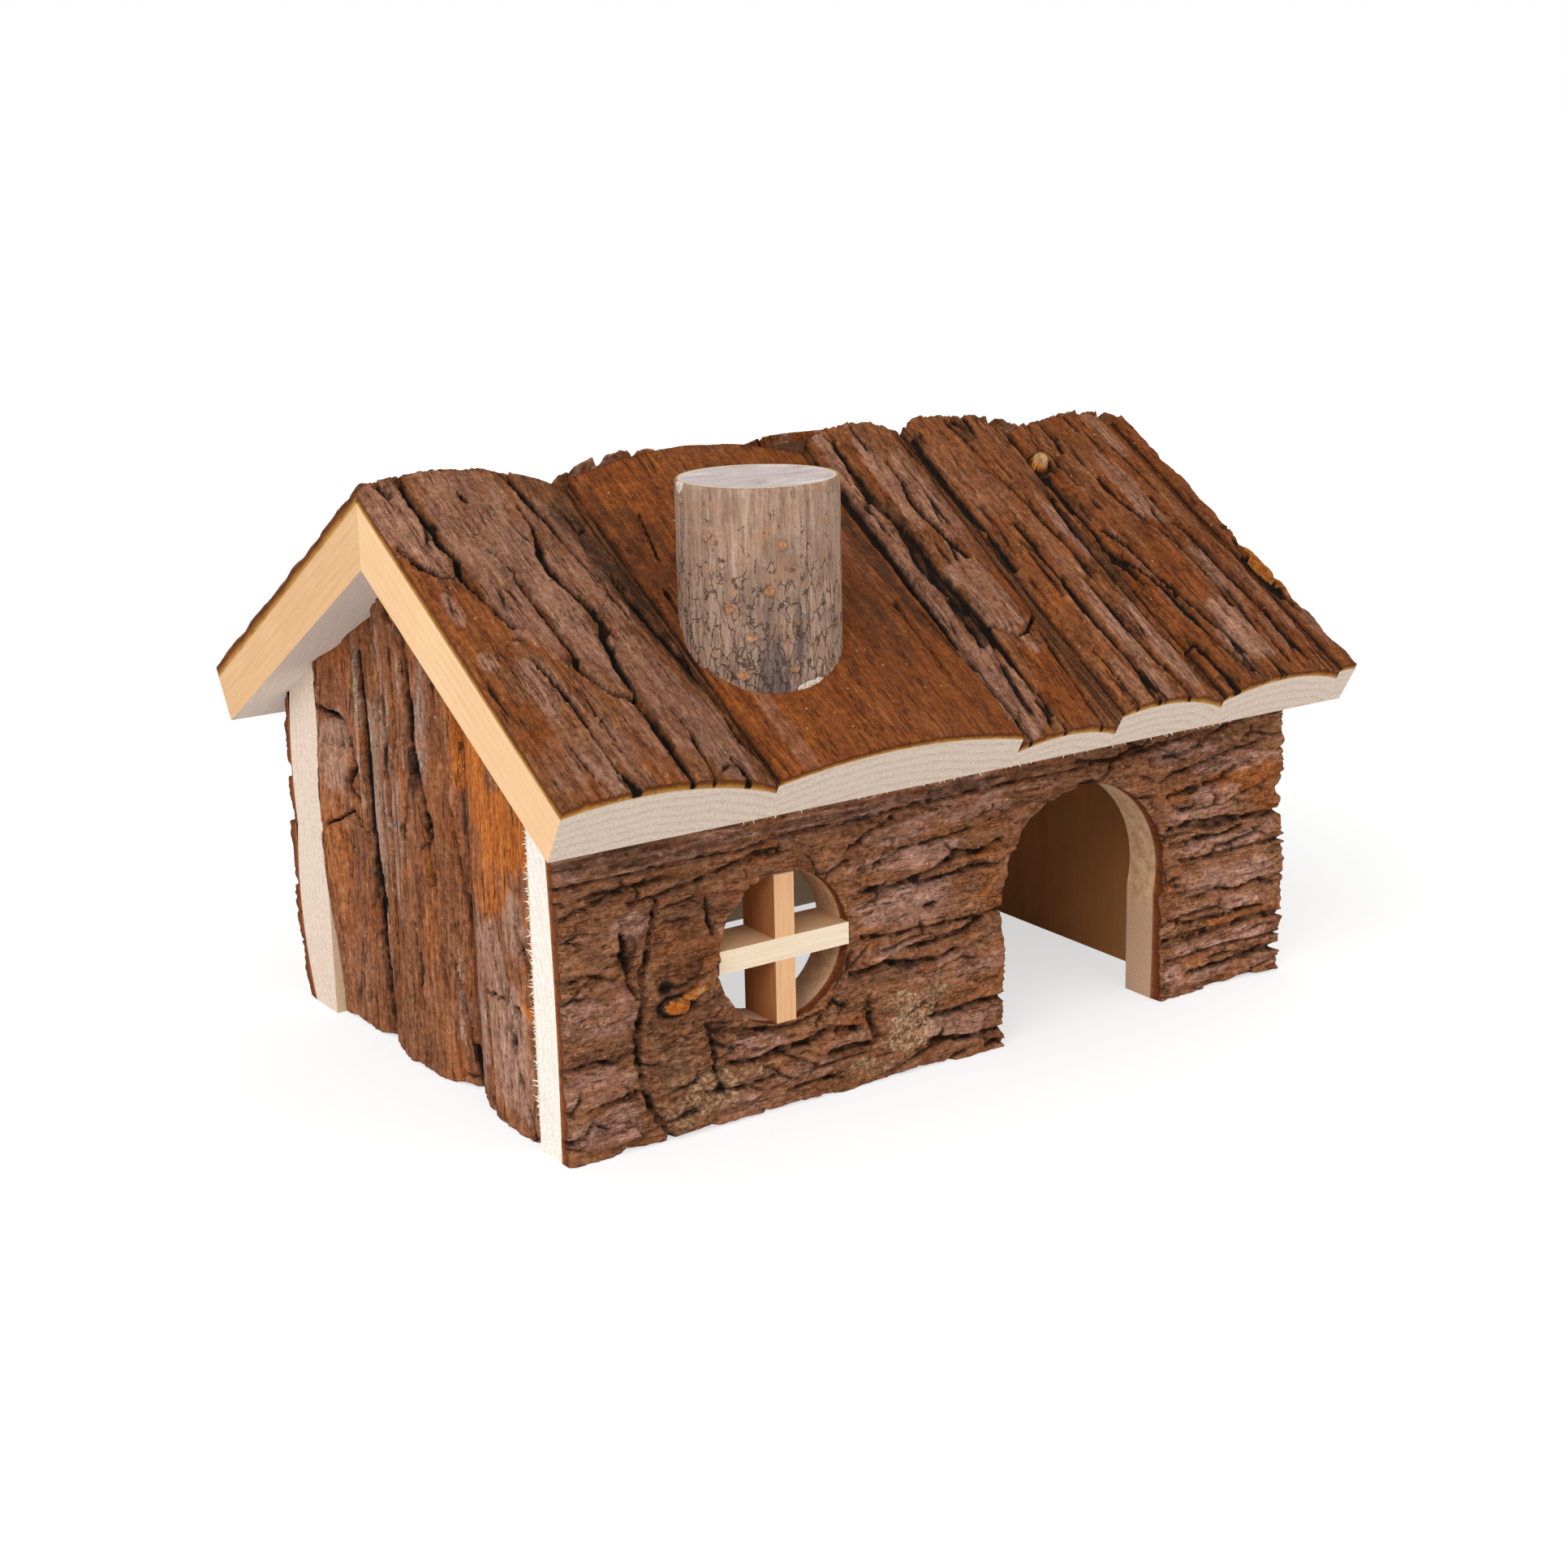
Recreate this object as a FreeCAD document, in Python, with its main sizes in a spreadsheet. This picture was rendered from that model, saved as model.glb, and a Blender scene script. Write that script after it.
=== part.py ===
# Small pet house built from bark-on log slabs, with a round window, an arched door and a log chimney.
#
# The house stands on z = 0. Its ridge runs along X, the long wall with the window and the door faces -Y,
# and the origin is the middle of the footprint. Lengths are in millimetres and angles in degrees.
#
# Every slab is a slice sawn from the side of a log: flat on the inner face, round on the outer one. The
# round face is an arc about the log's pith, and the bark is a layer with the same pith. Across a slab, w
# runs along its width and t away from its flat face. The log's radius follows from how far the round face
# falls from its crown to the slab's thinner edge.
import FreeCAD, Part
import os
import Sketcher

SIZES = {
    # Roof: both halves meet in a vertical mitre at the ridge and end square at the eaves.
    "roof_length": 200.0,
    "pitch": 30.9,  # slope of both roof halves
    "front_slope": 83.5,  # underside of the front half, ridge to eave
    "back_slope": 88.0,  # underside of the back half, ridge to eave
    "ridge_offset": 1.85,  # ridge line ahead of the middle of the footprint
    # Long walls.
    "inner_half": 47.5,  # ridge plane to the inner face of either long wall
    "wall_height": 80.8,  # floor to the roof underside at that inner face
    "left_overhang": 8.6,  # roof past the left wall ends
    "right_overhang": 4.1,  # roof past the right wall ends
    "back_seam": 41.0,  # floor to the seam between the two back wall slabs
    # Gables, set between the long walls.
    "left_gable_inset": 13.0,  # left wall ends to the gable's inner face
    "right_gable_inset": 23.7,  # right wall ends to the gable's inner face
    # Round window with its cross of two slats.
    "window_radius": 15.8,
    "window_from_left": 50.7,  # left wall end to the window's centre
    "window_height": 34.2,
    "bar_width": 4.7,
    "bar_recess": 0.3,  # bark face to the front of the slats
    "bar_clearance": 0.05,  # slat corners to the window's rim
    # Arched door: straight jambs under a hole-saw arc that steps out a little at its foot.
    "door_width": 45.0,
    "door_from_right": 58.4,  # right wall end to the door's centre line
    "arch_step": 0.7,  # the arc's radius over half the door's width
    "arch_height": 31.0,  # floor to the arc's centre
    # Chimney: a round log with its bark on, its foot scribed to the roof.
    "chimney_radius": 16.3,
    "chimney_bark": 1.3,
    "chimney_from_seam": 16.6,  # seam between the first two front slabs to the chimney's axis
    "chimney_from_ridge": 45.6,
    "chimney_rise": 17.4,  # chimney top above the underside of the ridge
    # Furrows: the deep cracks of old bark, which run along each log.
    "furrow_width": 2.2,
    "furrow_floor": 0.5,  # bark left on the wood under a furrow
}

# Sizes of the slabs. Crown is the wood's greatest thickness, fall the drop of its round face from there to
# the thinner edge, pith the distance from the slab's first edge to the middle of the log, and bark its
# thickness. One slab in each row has no width of its own, because it fills the row.
ROOF_COLUMNS = ("width", "eave_crown", "ridge_crown", "fall", "pith", "bark")
FRONT_SLABS = (
    (47.4, 12.7, 13.2, 6.4, 17.0, 2.2),
    (None, 11.6, 13.2, 4.2, 28.5, 1.5),
    (26.0, 6.0, 13.0, 2.6, 12.5, 1.9),
    (29.0, 9.4, 13.2, 4.5, 10.5, 2.0),
    (33.4, 9.9, 11.0, 3.3, 17.0, 1.9),
    (4.9, 8.9, 9.6, 0.2, 2.6, 1.9),
)
BACK_SLABS = (
    (44.0, 12.4, 13.2, 5.0, 17.0, 2.2),
    (38.0, 11.0, 12.8, 3.4, 20.0, 2.2),
    (None, 12.0, 13.4, 3.6, 24.0, 1.8),
    (36.0, 10.0, 12.6, 3.8, 16.0, 2.2),
    (32.0, 10.4, 11.2, 3.0, 15.0, 2.0),
)
WALL_COLUMNS = ("crown", "fall", "pith", "bark")
WALL_SLABS = {
    "front_wall": (8.6, 3.1, 20.0, 3.2),
    "back_wall_1": (16.0, 5.2, 27.0, 3.5),
    "back_wall_2": (15.5, 3.8, 14.0, 3.0),
}
# Gable slabs stand in a row from the front wall to the back wall.
GABLE_COLUMNS = ("width",) + WALL_COLUMNS
LEFT_GABLE_SLABS = (
    (34.9, 10.2, 5.5, 12.0, 2.5),
    (36.6, 10.0, 4.7, 20.0, 2.4),
    (None, 8.5, 1.8, 12.0, 2.2),
)
RIGHT_GABLE_SLABS = (
    (None, 10.0, 5.0, 24.0, 2.4),
    (45.0, 9.6, 4.6, 22.0, 2.4),
)
# Main furrows of each slab's bark, as distances from the slab's first edge where the log begins and where it
# ends: eave and ridge on the roof, left and right on the long walls, foot and top on the gables.
FURROWS = {
    "front_slab_1": ((15.0, 8.0), (28.0, 17.0), (33.0, 31.0)),
    "front_slab_3": ((11.5, 5.0), (22.0, 14.0)),
    "front_slab_4": ((9.5, 8.0), (17.5, 11.5), (25.5, 25.0)),
    "front_slab_5": ((11.5, 3.0), (19.5, 11.0), (26.5, 20.5)),
    "back_slab_1": ((12.0, 10.0), (24.0, 27.0), (35.0, 34.0)),
    "back_slab_2": ((9.0, 12.0), (20.0, 19.0), (30.0, 28.0)),
    "back_slab_3": ((14.0, 12.0), (35.0, 38.0)),
    "back_slab_4": ((8.0, 10.0), (18.0, 17.0), (28.0, 26.0)),
    "back_slab_5": ((8.0, 9.0), (17.0, 18.0), (25.0, 23.0)),
    "front_wall": ((19.5, 14.0), (37.0, 39.0), (54.0, 57.0)),
    "back_wall_1": ((13.0, 15.0), (27.0, 25.0)),
    "back_wall_2": ((12.0, 14.0), (26.0, 25.0)),
    "left_gable_1": ((6.0, 13.0), (19.0, 30.0)),
    "left_gable_2": ((6.0, 17.0), (28.0, 31.0)),
    "left_gable_3": ((3.5, 6.0),),
    "right_gable_1": ((14.0, 12.0), (27.0, 29.0), (40.0, 38.0)),
    "right_gable_2": ((11.0, 13.0), (23.0, 22.0), (35.0, 36.0)),
}
FURROW_ENDS = ("begins", "ends")

doc = FreeCAD.newDocument("HamsterHouse")
sheet = doc.addObject("Spreadsheet::Sheet", "Sizes")
pieces = []


# Sizes sheet


def row_sizes(prefix, columns, rows):
    """Named sizes of a row of slabs or furrows, without the widths that are left open."""
    return {
        f"{prefix}_{number}_{column}": value
        for number, values in enumerate(rows, 1)
        for column, value in zip(columns, values)
        if value is not None
    }


def write_sizes():
    sizes = dict(SIZES)
    for name, values in WALL_SLABS.items():
        sizes.update({f"{name}_{column}": value for column, value in zip(WALL_COLUMNS, values)})
    sizes.update(row_sizes("front_slab", ROOF_COLUMNS, FRONT_SLABS))
    sizes.update(row_sizes("back_slab", ROOF_COLUMNS, BACK_SLABS))
    sizes.update(row_sizes("left_gable", GABLE_COLUMNS, LEFT_GABLE_SLABS))
    sizes.update(row_sizes("right_gable", GABLE_COLUMNS, RIGHT_GABLE_SLABS))
    for name, furrows in FURROWS.items():
        sizes.update(row_sizes(f"{name}_furrow", FURROW_ENDS, furrows))
    for row, (name, value) in enumerate(sizes.items(), 1):
        sheet.set(f"A{row}", name)
        sheet.set(f"B{row}", str(value))
        sheet.setAlias(f"B{row}", name)
    doc.recompute()


def size(name):
    """The expression that reads one cell of the sheet."""
    return f"Sizes.{name}"


def number_of(expression):
    return float(sheet.evalExpression(expression))


def sum_of(expressions):
    return "(" + " + ".join(expressions) + ")"


# Places shared by several pieces, as expressions

ROOF_LEFT = "(-Sizes.roof_length / 2)"
ROOF_RIGHT = "(Sizes.roof_length / 2)"
WALL_LEFT = f"({ROOF_LEFT} + Sizes.left_overhang)"
WALL_RIGHT = f"({ROOF_RIGHT} - Sizes.right_overhang)"
WALL_LENGTH = f"({WALL_RIGHT} - {WALL_LEFT})"
RIDGE_Z = "(Sizes.wall_height + Sizes.inner_half * tan(Sizes.pitch))"
WINDOW_X = f"({WALL_LEFT} + Sizes.window_from_left)"
DOOR_X = f"({WALL_RIGHT} - Sizes.door_from_right)"
CHIMNEY_X = f"({ROOF_LEFT} + Sizes.front_slab_1_width + Sizes.chimney_from_seam)"


def slab_spans(prefix, slabs, first, whole):
    """First edge and width of each slab in a row. The slab with no width of its own fills the whole."""
    names = [size(f"{prefix}_{number}_width") for number in range(1, len(slabs) + 1)]
    given = [name for name, values in zip(names, slabs) if values[0]]
    rest = f"({whole} - {sum_of(given)})"
    widths = [name if values[0] else rest for name, values in zip(names, slabs)]
    edges = [first] + [f"({first} + {sum_of(widths[:count])})" for count in range(1, len(slabs))]
    return list(zip(edges, widths))


# Sketches


def origin_plane(body, role):
    return next(plane for plane in body.Origin.OriginFeatures if plane.Role == role)


def new_sketch(body, name, plane, offset=None):
    sketch = body.newObject("Sketcher::SketchObject", name)
    sketch.AttachmentSupport = [(origin_plane(body, plane), "")]
    sketch.MapMode = "FlatFace"
    if offset:
        sketch.setExpression("AttachmentOffset.Base.z", offset)
    return sketch


def bind_distance(sketch, kind, name, edge, point, expression):
    """Hold one coordinate of a sketch point at an expression."""
    value = number_of(expression)
    index = sketch.addConstraint(Sketcher.Constraint(kind, -1, 1, edge, point, value))
    sketch.renameConstraint(index, name)
    sketch.setExpression(f"Constraints.{name}", expression)


def bind_radius(sketch, name, edge, expression):
    index = sketch.addConstraint(Sketcher.Constraint("Radius", edge, number_of(expression)))
    sketch.renameConstraint(index, name)
    sketch.setExpression(f"Constraints.{name}", expression)


def draw_outline(sketch, corners, name="corner"):
    """Close an outline through corners (x, y), or (x, y, via_x, via_y, radius) where an arc starts.

    The arc runs to the next corner by way of its via point.
    """
    spots = [FreeCAD.Vector(number_of(c[0]), number_of(c[1]), 0) for c in corners]
    ends = []
    for number, corner in enumerate(corners):
        start = spots[number]
        stop = spots[(number + 1) % len(spots)]
        if len(corner) == 2:
            edge = sketch.addGeometry(Part.LineSegment(start, stop))
        else:
            via = FreeCAD.Vector(number_of(corner[2]), number_of(corner[3]), 0)
            edge = sketch.addGeometry(Part.Arc(start, via, stop))
        forward = sketch.getPoint(edge, 1).distanceToPoint(start) < 1e-6
        ends.append((edge, 1 if forward else 2, 2 if forward else 1))
    for number, (edge, first, last) in enumerate(ends):
        next_edge, next_first, _ = ends[(number + 1) % len(ends)]
        sketch.addConstraint(Sketcher.Constraint("Coincident", edge, last, next_edge, next_first))
        bind_distance(sketch, "DistanceX", f"{name}{number}_x", edge, first, corners[number][0])
        bind_distance(sketch, "DistanceY", f"{name}{number}_y", edge, first, corners[number][1])
        if len(corners[number]) > 2:
            bind_radius(sketch, f"{name}{number}_radius", edge, corners[number][4])


def draw_circle(sketch, name, x, y, radius):
    centre = FreeCAD.Vector(number_of(x), number_of(y), 0)
    upright = FreeCAD.Vector(0, 0, 1)
    edge = sketch.addGeometry(Part.Circle(centre, upright, number_of(radius)))
    bind_distance(sketch, "DistanceX", f"{name}_x", edge, 3, x)
    bind_distance(sketch, "DistanceY", f"{name}_y", edge, 3, y)
    bind_radius(sketch, f"{name}_radius", edge, radius)


# Log slab profile


def log_radius(width, fall, pith):
    """Radius of the wood's round face, which falls from the pith to the edge that is farther from it."""
    far = f"(({width} + abs({width} - 2 * {pith})) / 2)"
    return f"(({far}^2 + {fall}^2) / (2 * {fall}))"


def arc_height(crown, log, pith, w, bark="0"):
    """Thickness at distance w from the slab's first edge, under the wood's or the bark's round face."""
    return f"({crown} - {log} + sqrt(({log} + {bark})^2 - ({w} - {pith})^2))"


def slab_corners(place, width, crown, fall, pith, bark=None, flat="0"):
    """Corners of a slab's wood down to its flat face, or of its bark when a bark thickness is given."""
    log = log_radius(width, fall, pith)
    wood_first = place("0", arc_height(crown, log, pith, "0"))
    wood_last = place(width, arc_height(crown, log, pith, width))
    wood_top = place(pith, crown) + (log,)
    if bark is None:
        return [place("0", flat), place(width, flat), wood_last + wood_top, wood_first]
    bark_first = place("0", arc_height(crown, log, pith, "0", bark))
    bark_last = place(width, arc_height(crown, log, pith, width, bark))
    bark_top = place(pith, f"({crown} + {bark})") + (f"({log} + {bark})",)
    return [wood_first + wood_top, wood_last, bark_last + bark_top, bark_first]


# Features


def new_body(label):
    body = doc.addObject("PartDesign::Body", label)
    body.Label = label
    body.setExpression("Placement.Base.y", "-Sizes.ridge_offset")
    pieces.append(body)
    return body


def pad(body, sketch, length, reverse=False, back_length=None):
    """Pad a sketch, and the other way too where a back length is given."""
    feature = body.newObject("PartDesign::Pad", "Pad")
    feature.Profile = sketch
    feature.Reversed = reverse
    feature.setExpression("Length", length)
    if back_length:
        feature.SideType = "Two sides"
        feature.setExpression("Length2", back_length)
    doc.recompute()


def cut_through(body, sketch):
    """Cut an outline right through a body, both ways from the sketch, and make sure that it did."""
    doc.recompute()
    before = body.Shape.Volume
    feature = body.newObject("PartDesign::Pocket", "Pocket")
    feature.Profile = sketch
    feature.Type = "ThroughAll"
    feature.SideType = "Symmetric"
    doc.recompute()
    if not body.Shape.Volume < before:
        raise RuntimeError(f"{body.Label}: {sketch.Label} cuts nothing")


def cut_furrows(body, plane, prefix, place, begin, end):
    """Cut the slots of a slab's furrows right through its bark, from one end of the log to the other.

    Place gives a sketch point from a distance across the slab and one along it. The pieces of bark between
    the slots are joined again by the layer that is padded after this.
    """
    body.AllowCompound = True
    sketch = new_sketch(body, "Furrows", plane)
    half = "(Sizes.furrow_width / 2)"
    for number in range(1, len(FURROWS[prefix]) + 1):
        first, last = (size(f"{prefix}_furrow_{number}_{name}") for name in FURROW_ENDS)
        corners = [
            place(f"({first} - {half})", begin),
            place(f"({first} + {half})", begin),
            place(f"({last} + {half})", end),
            place(f"({last} - {half})", end),
        ]
        draw_outline(sketch, corners, f"furrow{number}_")
    cut_through(body, sketch)


def trim_under_roof(body):
    """Take off all that reaches above the underside of the roof."""
    reach = "(Sizes.inner_half + Sizes.front_slope)"
    eave_z = f"({RIDGE_Z} - {reach} * tan(Sizes.pitch))"
    above = f"(2 * {RIDGE_Z})"
    sketch = new_sketch(body, "RoofUnderside", "YZ_Plane")
    corners = [(f"-{reach}", eave_z), ("0", RIDGE_Z), (reach, eave_z), (reach, above), (f"-{reach}", above)]
    draw_outline(sketch, corners)
    cut_through(body, sketch)


# Roof


def add_roof_slab(label, side, slope, span, prefix, with_bark):
    """Pad one slab, or its bark, along the log from beyond the eave to past the ridge, and saw it to shape.

    Side is -1 for the front half and 1 for the back half. The body is tilted about the ridge, so within
    it Y runs along the slope and Z out of the roof. The profile stands square to the log, which leans
    against the flat face by the slab's taper.
    """
    body = new_body(label)
    body.Placement.Rotation = FreeCAD.Rotation(FreeCAD.Vector(-side, 0, 0), number_of("Sizes.pitch"))
    body.setExpression("Placement.Rotation.Angle", "Sizes.pitch")
    body.setExpression("Placement.Base.z", RIDGE_Z)
    start, width = span
    eave_crown, ridge_crown, fall, pith, bark = (size(f"{prefix}_{column}") for column in ROOF_COLUMNS[1:])
    stock = f"(2 * ({ridge_crown} + {bark}))"
    taper = f"atan(({ridge_crown} - {eave_crown}) / {slope})"
    square_crown = f"({eave_crown} * cos({taper}))"

    def place(w, t):
        return f"({start} + {w})", t

    def pad_log(name, layer):
        # The XZ plane faces -Y, so an offset along it is turned round.
        profile = new_sketch(body, name, "XZ_Plane", f"{-side} * {slope}")
        profile.AttachmentOffset.Rotation = FreeCAD.Rotation(FreeCAD.Vector(-side, 0, 0), number_of(taper))
        profile.setExpression("AttachmentOffset.Rotation.Angle", taper)
        draw_outline(profile, slab_corners(place, width, square_crown, fall, pith, layer, f"-{stock}"))
        pad(body, profile, f"({slope} + {stock})", reverse=side < 0, back_length=stock)

    pad_log("LogProfile", bark if with_bark else None)
    if with_bark and prefix in FURROWS:
        begin = f"({side} * ({slope} + 2 * {stock}))"
        end = f"({-side} * 2 * {stock})"
        cut_furrows(body, "XY_Plane", prefix, place, begin, end)
        pad_log("FurrowFloor", size("furrow_floor"))
    saw_side_view(body, side, slope, stock)


def saw_side_view(body, side, slope, stock):
    """Saw a roof slab square at the eave, flat underneath and upright at the ridge."""
    eave = f"({side} * {slope})"
    ridge_top = f"({-side} * {stock} * tan(Sizes.pitch))"
    kept = [(eave, "0"), ("0", "0"), (ridge_top, stock), (eave, stock)]
    far = f"({side} * ({slope} + 2 * {stock}))"
    near = f"({-side} * 2 * {stock})"
    below = f"(-2 * {stock})"
    above = f"(2 * {stock})"
    waste = [(far, below), (near, below), (near, above), (far, above)]
    cuts = new_sketch(body, "SideView", "YZ_Plane")
    draw_outline(cuts, kept, "kept")
    draw_outline(cuts, waste, "waste")
    cut_through(body, cuts)


def add_roof():
    halves = (
        ("front_slab", -1, size("front_slope"), FRONT_SLABS),
        ("back_slab", 1, size("back_slope"), BACK_SLABS),
    )
    for name, side, slope, slabs in halves:
        spans = slab_spans(name, slabs, ROOF_LEFT, size("roof_length"))
        for number, span in enumerate(spans, 1):
            prefix = f"{name}_{number}"
            add_roof_slab(prefix, side, slope, span, prefix, False)
            add_roof_slab(f"{prefix}_bark", side, slope, span, prefix, True)


# Long walls


def add_wall_slab(label, side, foot, height, prefix, with_bark):
    """Pad one slab of a long wall, or its bark, from wall end to wall end."""
    body = new_body(label)
    crown, fall, pith, bark = (size(f"{prefix}_{column}") for column in WALL_COLUMNS)

    def place(w, t):
        return f"({side} * (Sizes.inner_half + {t}))", f"({foot} + {w})"

    def place_furrow(w, x):
        return x, f"({foot} + {w})"

    def pad_log(name, layer):
        sketch = new_sketch(body, name, "YZ_Plane", WALL_LEFT)
        draw_outline(sketch, slab_corners(place, height, crown, fall, pith, layer))
        pad(body, sketch, WALL_LENGTH)

    pad_log("EndProfile", bark if with_bark else None)
    if with_bark:
        cut_furrows(body, "XZ_Plane", prefix, place_furrow, ROOF_LEFT, ROOF_RIGHT)
        pad_log("FurrowFloor", size("furrow_floor"))
    return body


def cut_window_and_door(body):
    window = new_sketch(body, "Window", "XZ_Plane")
    draw_circle(window, "rim", WINDOW_X, size("window_height"), size("window_radius"))
    cut_through(body, window)
    half = "(Sizes.door_width / 2)"
    radius = f"({half} + Sizes.arch_step)"
    spring = f"(Sizes.arch_height - sqrt({radius}^2 - {half}^2))"
    arc = (DOOR_X, f"(Sizes.arch_height + {radius})", radius)
    left = f"({DOOR_X} - {half})"
    right = f"({DOOR_X} + {half})"
    below = "-Sizes.door_width"
    door = new_sketch(body, "Door", "XZ_Plane")
    draw_outline(door, [(left, below), (right, below), (right, spring) + arc, (left, spring)])
    cut_through(body, door)


def add_long_walls():
    for with_bark in (False, True):
        ending = "_bark" if with_bark else ""
        front = add_wall_slab(f"front_wall{ending}", -1, "0", size("wall_height"), "front_wall", with_bark)
        trim_under_roof(front)
        cut_window_and_door(front)
        add_wall_slab(f"back_wall_1{ending}", 1, "0", size("back_seam"), "back_wall_1", with_bark)
        seam = size("back_seam")
        height = f"(Sizes.wall_height - {seam})"
        upper = add_wall_slab(f"back_wall_2{ending}", 1, seam, height, "back_wall_2", with_bark)
        trim_under_roof(upper)


# Gables


def add_gable_slab(label, side, inner, span, prefix, with_bark):
    """Pad one upright gable slab, or its bark, between the long walls and fit it under the roof."""
    body = new_body(label)
    start, width = span
    crown, fall, pith, bark = (size(f"{prefix}_{column}") for column in WALL_COLUMNS)

    def place(w, t):
        return f"({inner} + {side} * {t})", f"({start} + {w})"

    def place_furrow(w, z):
        return f"({start} + {w})", z

    def pad_log(name, layer):
        sketch = new_sketch(body, name, "XY_Plane")
        draw_outline(sketch, slab_corners(place, width, crown, fall, pith, layer))
        pad(body, sketch, RIDGE_Z)

    pad_log("PlanProfile", bark if with_bark else None)
    if with_bark:
        cut_furrows(body, "YZ_Plane", prefix, place_furrow, f"(-{RIDGE_Z} / 2)", f"(2 * {RIDGE_Z})")
        pad_log("FurrowFloor", size("furrow_floor"))
    trim_under_roof(body)


def add_gables():
    gables = (
        ("left_gable", -1, f"({WALL_LEFT} + Sizes.left_gable_inset)", LEFT_GABLE_SLABS),
        ("right_gable", 1, f"({WALL_RIGHT} - Sizes.right_gable_inset)", RIGHT_GABLE_SLABS),
    )
    for name, side, inner, slabs in gables:
        spans = slab_spans(name, slabs, "-Sizes.inner_half", "(2 * Sizes.inner_half)")
        for number, span in enumerate(spans, 1):
            prefix = f"{name}_{number}"
            add_gable_slab(prefix, side, inner, span, prefix, False)
            add_gable_slab(f"{prefix}_bark", side, inner, span, prefix, True)


# Window cross: two slats on edge, halved into each other


def add_window_slat(label, upright):
    """Cut one slat to the window and notch half its depth where the other slat crosses it."""
    body = new_body(label)
    half_width = "(Sizes.bar_width / 2)"
    half_length = f"(sqrt(Sizes.window_radius^2 - {half_width}^2) - Sizes.bar_clearance)"
    depth = "(Sizes.front_wall_crown + Sizes.front_wall_bark - Sizes.bar_recess)"
    half_x, half_z = (half_width, half_length) if upright else (half_length, half_width)
    outline = new_sketch(body, "Outline", "XZ_Plane", size("inner_half"))
    draw_rectangle(outline, WINDOW_X, half_x, size("window_height"), half_z)
    pad(body, outline, depth)
    middle = f"(-Sizes.inner_half - {depth} / 2)"
    half_depth = f"({depth} / 2)"
    if upright:
        notch = new_sketch(body, "Notch", "YZ_Plane")
        draw_rectangle(notch, f"({middle} - {half_depth})", half_depth, size("window_height"), half_width)
    else:
        notch = new_sketch(body, "Notch", "XY_Plane")
        draw_rectangle(notch, WINDOW_X, half_width, f"({middle} + {half_depth})", half_depth)
    cut_through(body, notch)


def draw_rectangle(sketch, x, half_x, y, half_y):
    left = f"({x} - {half_x})"
    right = f"({x} + {half_x})"
    low = f"({y} - {half_y})"
    high = f"({y} + {half_y})"
    draw_outline(sketch, [(left, low), (right, low), (right, high), (left, high)])


# Chimney


def add_chimney_blank(name, radii):
    """A round log, or its bark, from the chimney's top down to a slanting foot within the roof."""
    body = doc.addObject("PartDesign::Body", name)
    body.setExpression("Placement.Base.y", "-Sizes.ridge_offset")
    top = f"({RIDGE_Z} + Sizes.chimney_rise)"
    sketch = new_sketch(body, "Round", "XY_Plane", top)
    for number, radius in enumerate(radii):
        draw_circle(sketch, f"circle{number}", CHIMNEY_X, "-Sizes.chimney_from_ridge", radius)
    pad(body, sketch, RIDGE_Z, reverse=True)
    # The blank reaches half way into the slab that it stands on.
    level = f"({RIDGE_Z} + Sizes.front_slab_2_eave_crown / 2 / cos(Sizes.pitch))"
    foot = new_sketch(body, "Foot", "YZ_Plane")
    reach = "(Sizes.chimney_from_ridge + 2 * Sizes.chimney_radius)"
    low = f"({level} - {reach} * tan(Sizes.pitch))"
    corners = [("0", level), (f"-{reach}", low), (f"-{reach}", f"-{reach}"), ("0", f"-{reach}")]
    draw_outline(foot, corners)
    cut_through(body, foot)
    return body


def add_chimney():
    """Scribe the log and its bark to the roof slabs that carry them."""
    carriers = ("front_slab_1", "front_slab_1_bark", "front_slab_2", "front_slab_2_bark")
    roof = doc.addObject("Part::MultiFuse", "ChimneySeat")
    roof.Shapes = [doc.getObject(name) for name in carriers]
    core = "(Sizes.chimney_radius - Sizes.chimney_bark)"
    for label, radii in (("chimney_log", (core,)), ("chimney_bark", (size("chimney_radius"), core))):
        scribed = doc.addObject("Part::Cut", label)
        scribed.Label = label
        scribed.Base = add_chimney_blank(f"{label}_blank", radii)
        scribed.Tool = roof
        pieces.append(scribed)


# Checks and files


def check_document():
    doc.recompute()
    for item in doc.Objects:
        if "Invalid" in item.State or "Error" in item.State:
            raise RuntimeError(f"{item.Label} failed: {item.State}")
    for piece in pieces:
        shape = piece.Shape
        if shape.isNull() or not shape.isValid() or len(shape.Solids) != 1:
            raise RuntimeError(f"{piece.Label}: not one valid solid")


def export_pieces():
    os.makedirs("parts", exist_ok=True)
    for piece in pieces:
        piece.Shape.exportStep(f"parts/{piece.Label}.step")


write_sizes()
add_roof()
add_long_walls()
add_gables()
add_window_slat("window_upright", True)
add_window_slat("window_rail", False)
add_chimney()
check_document()
export_pieces()
print(len(pieces), "pieces written")
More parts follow.
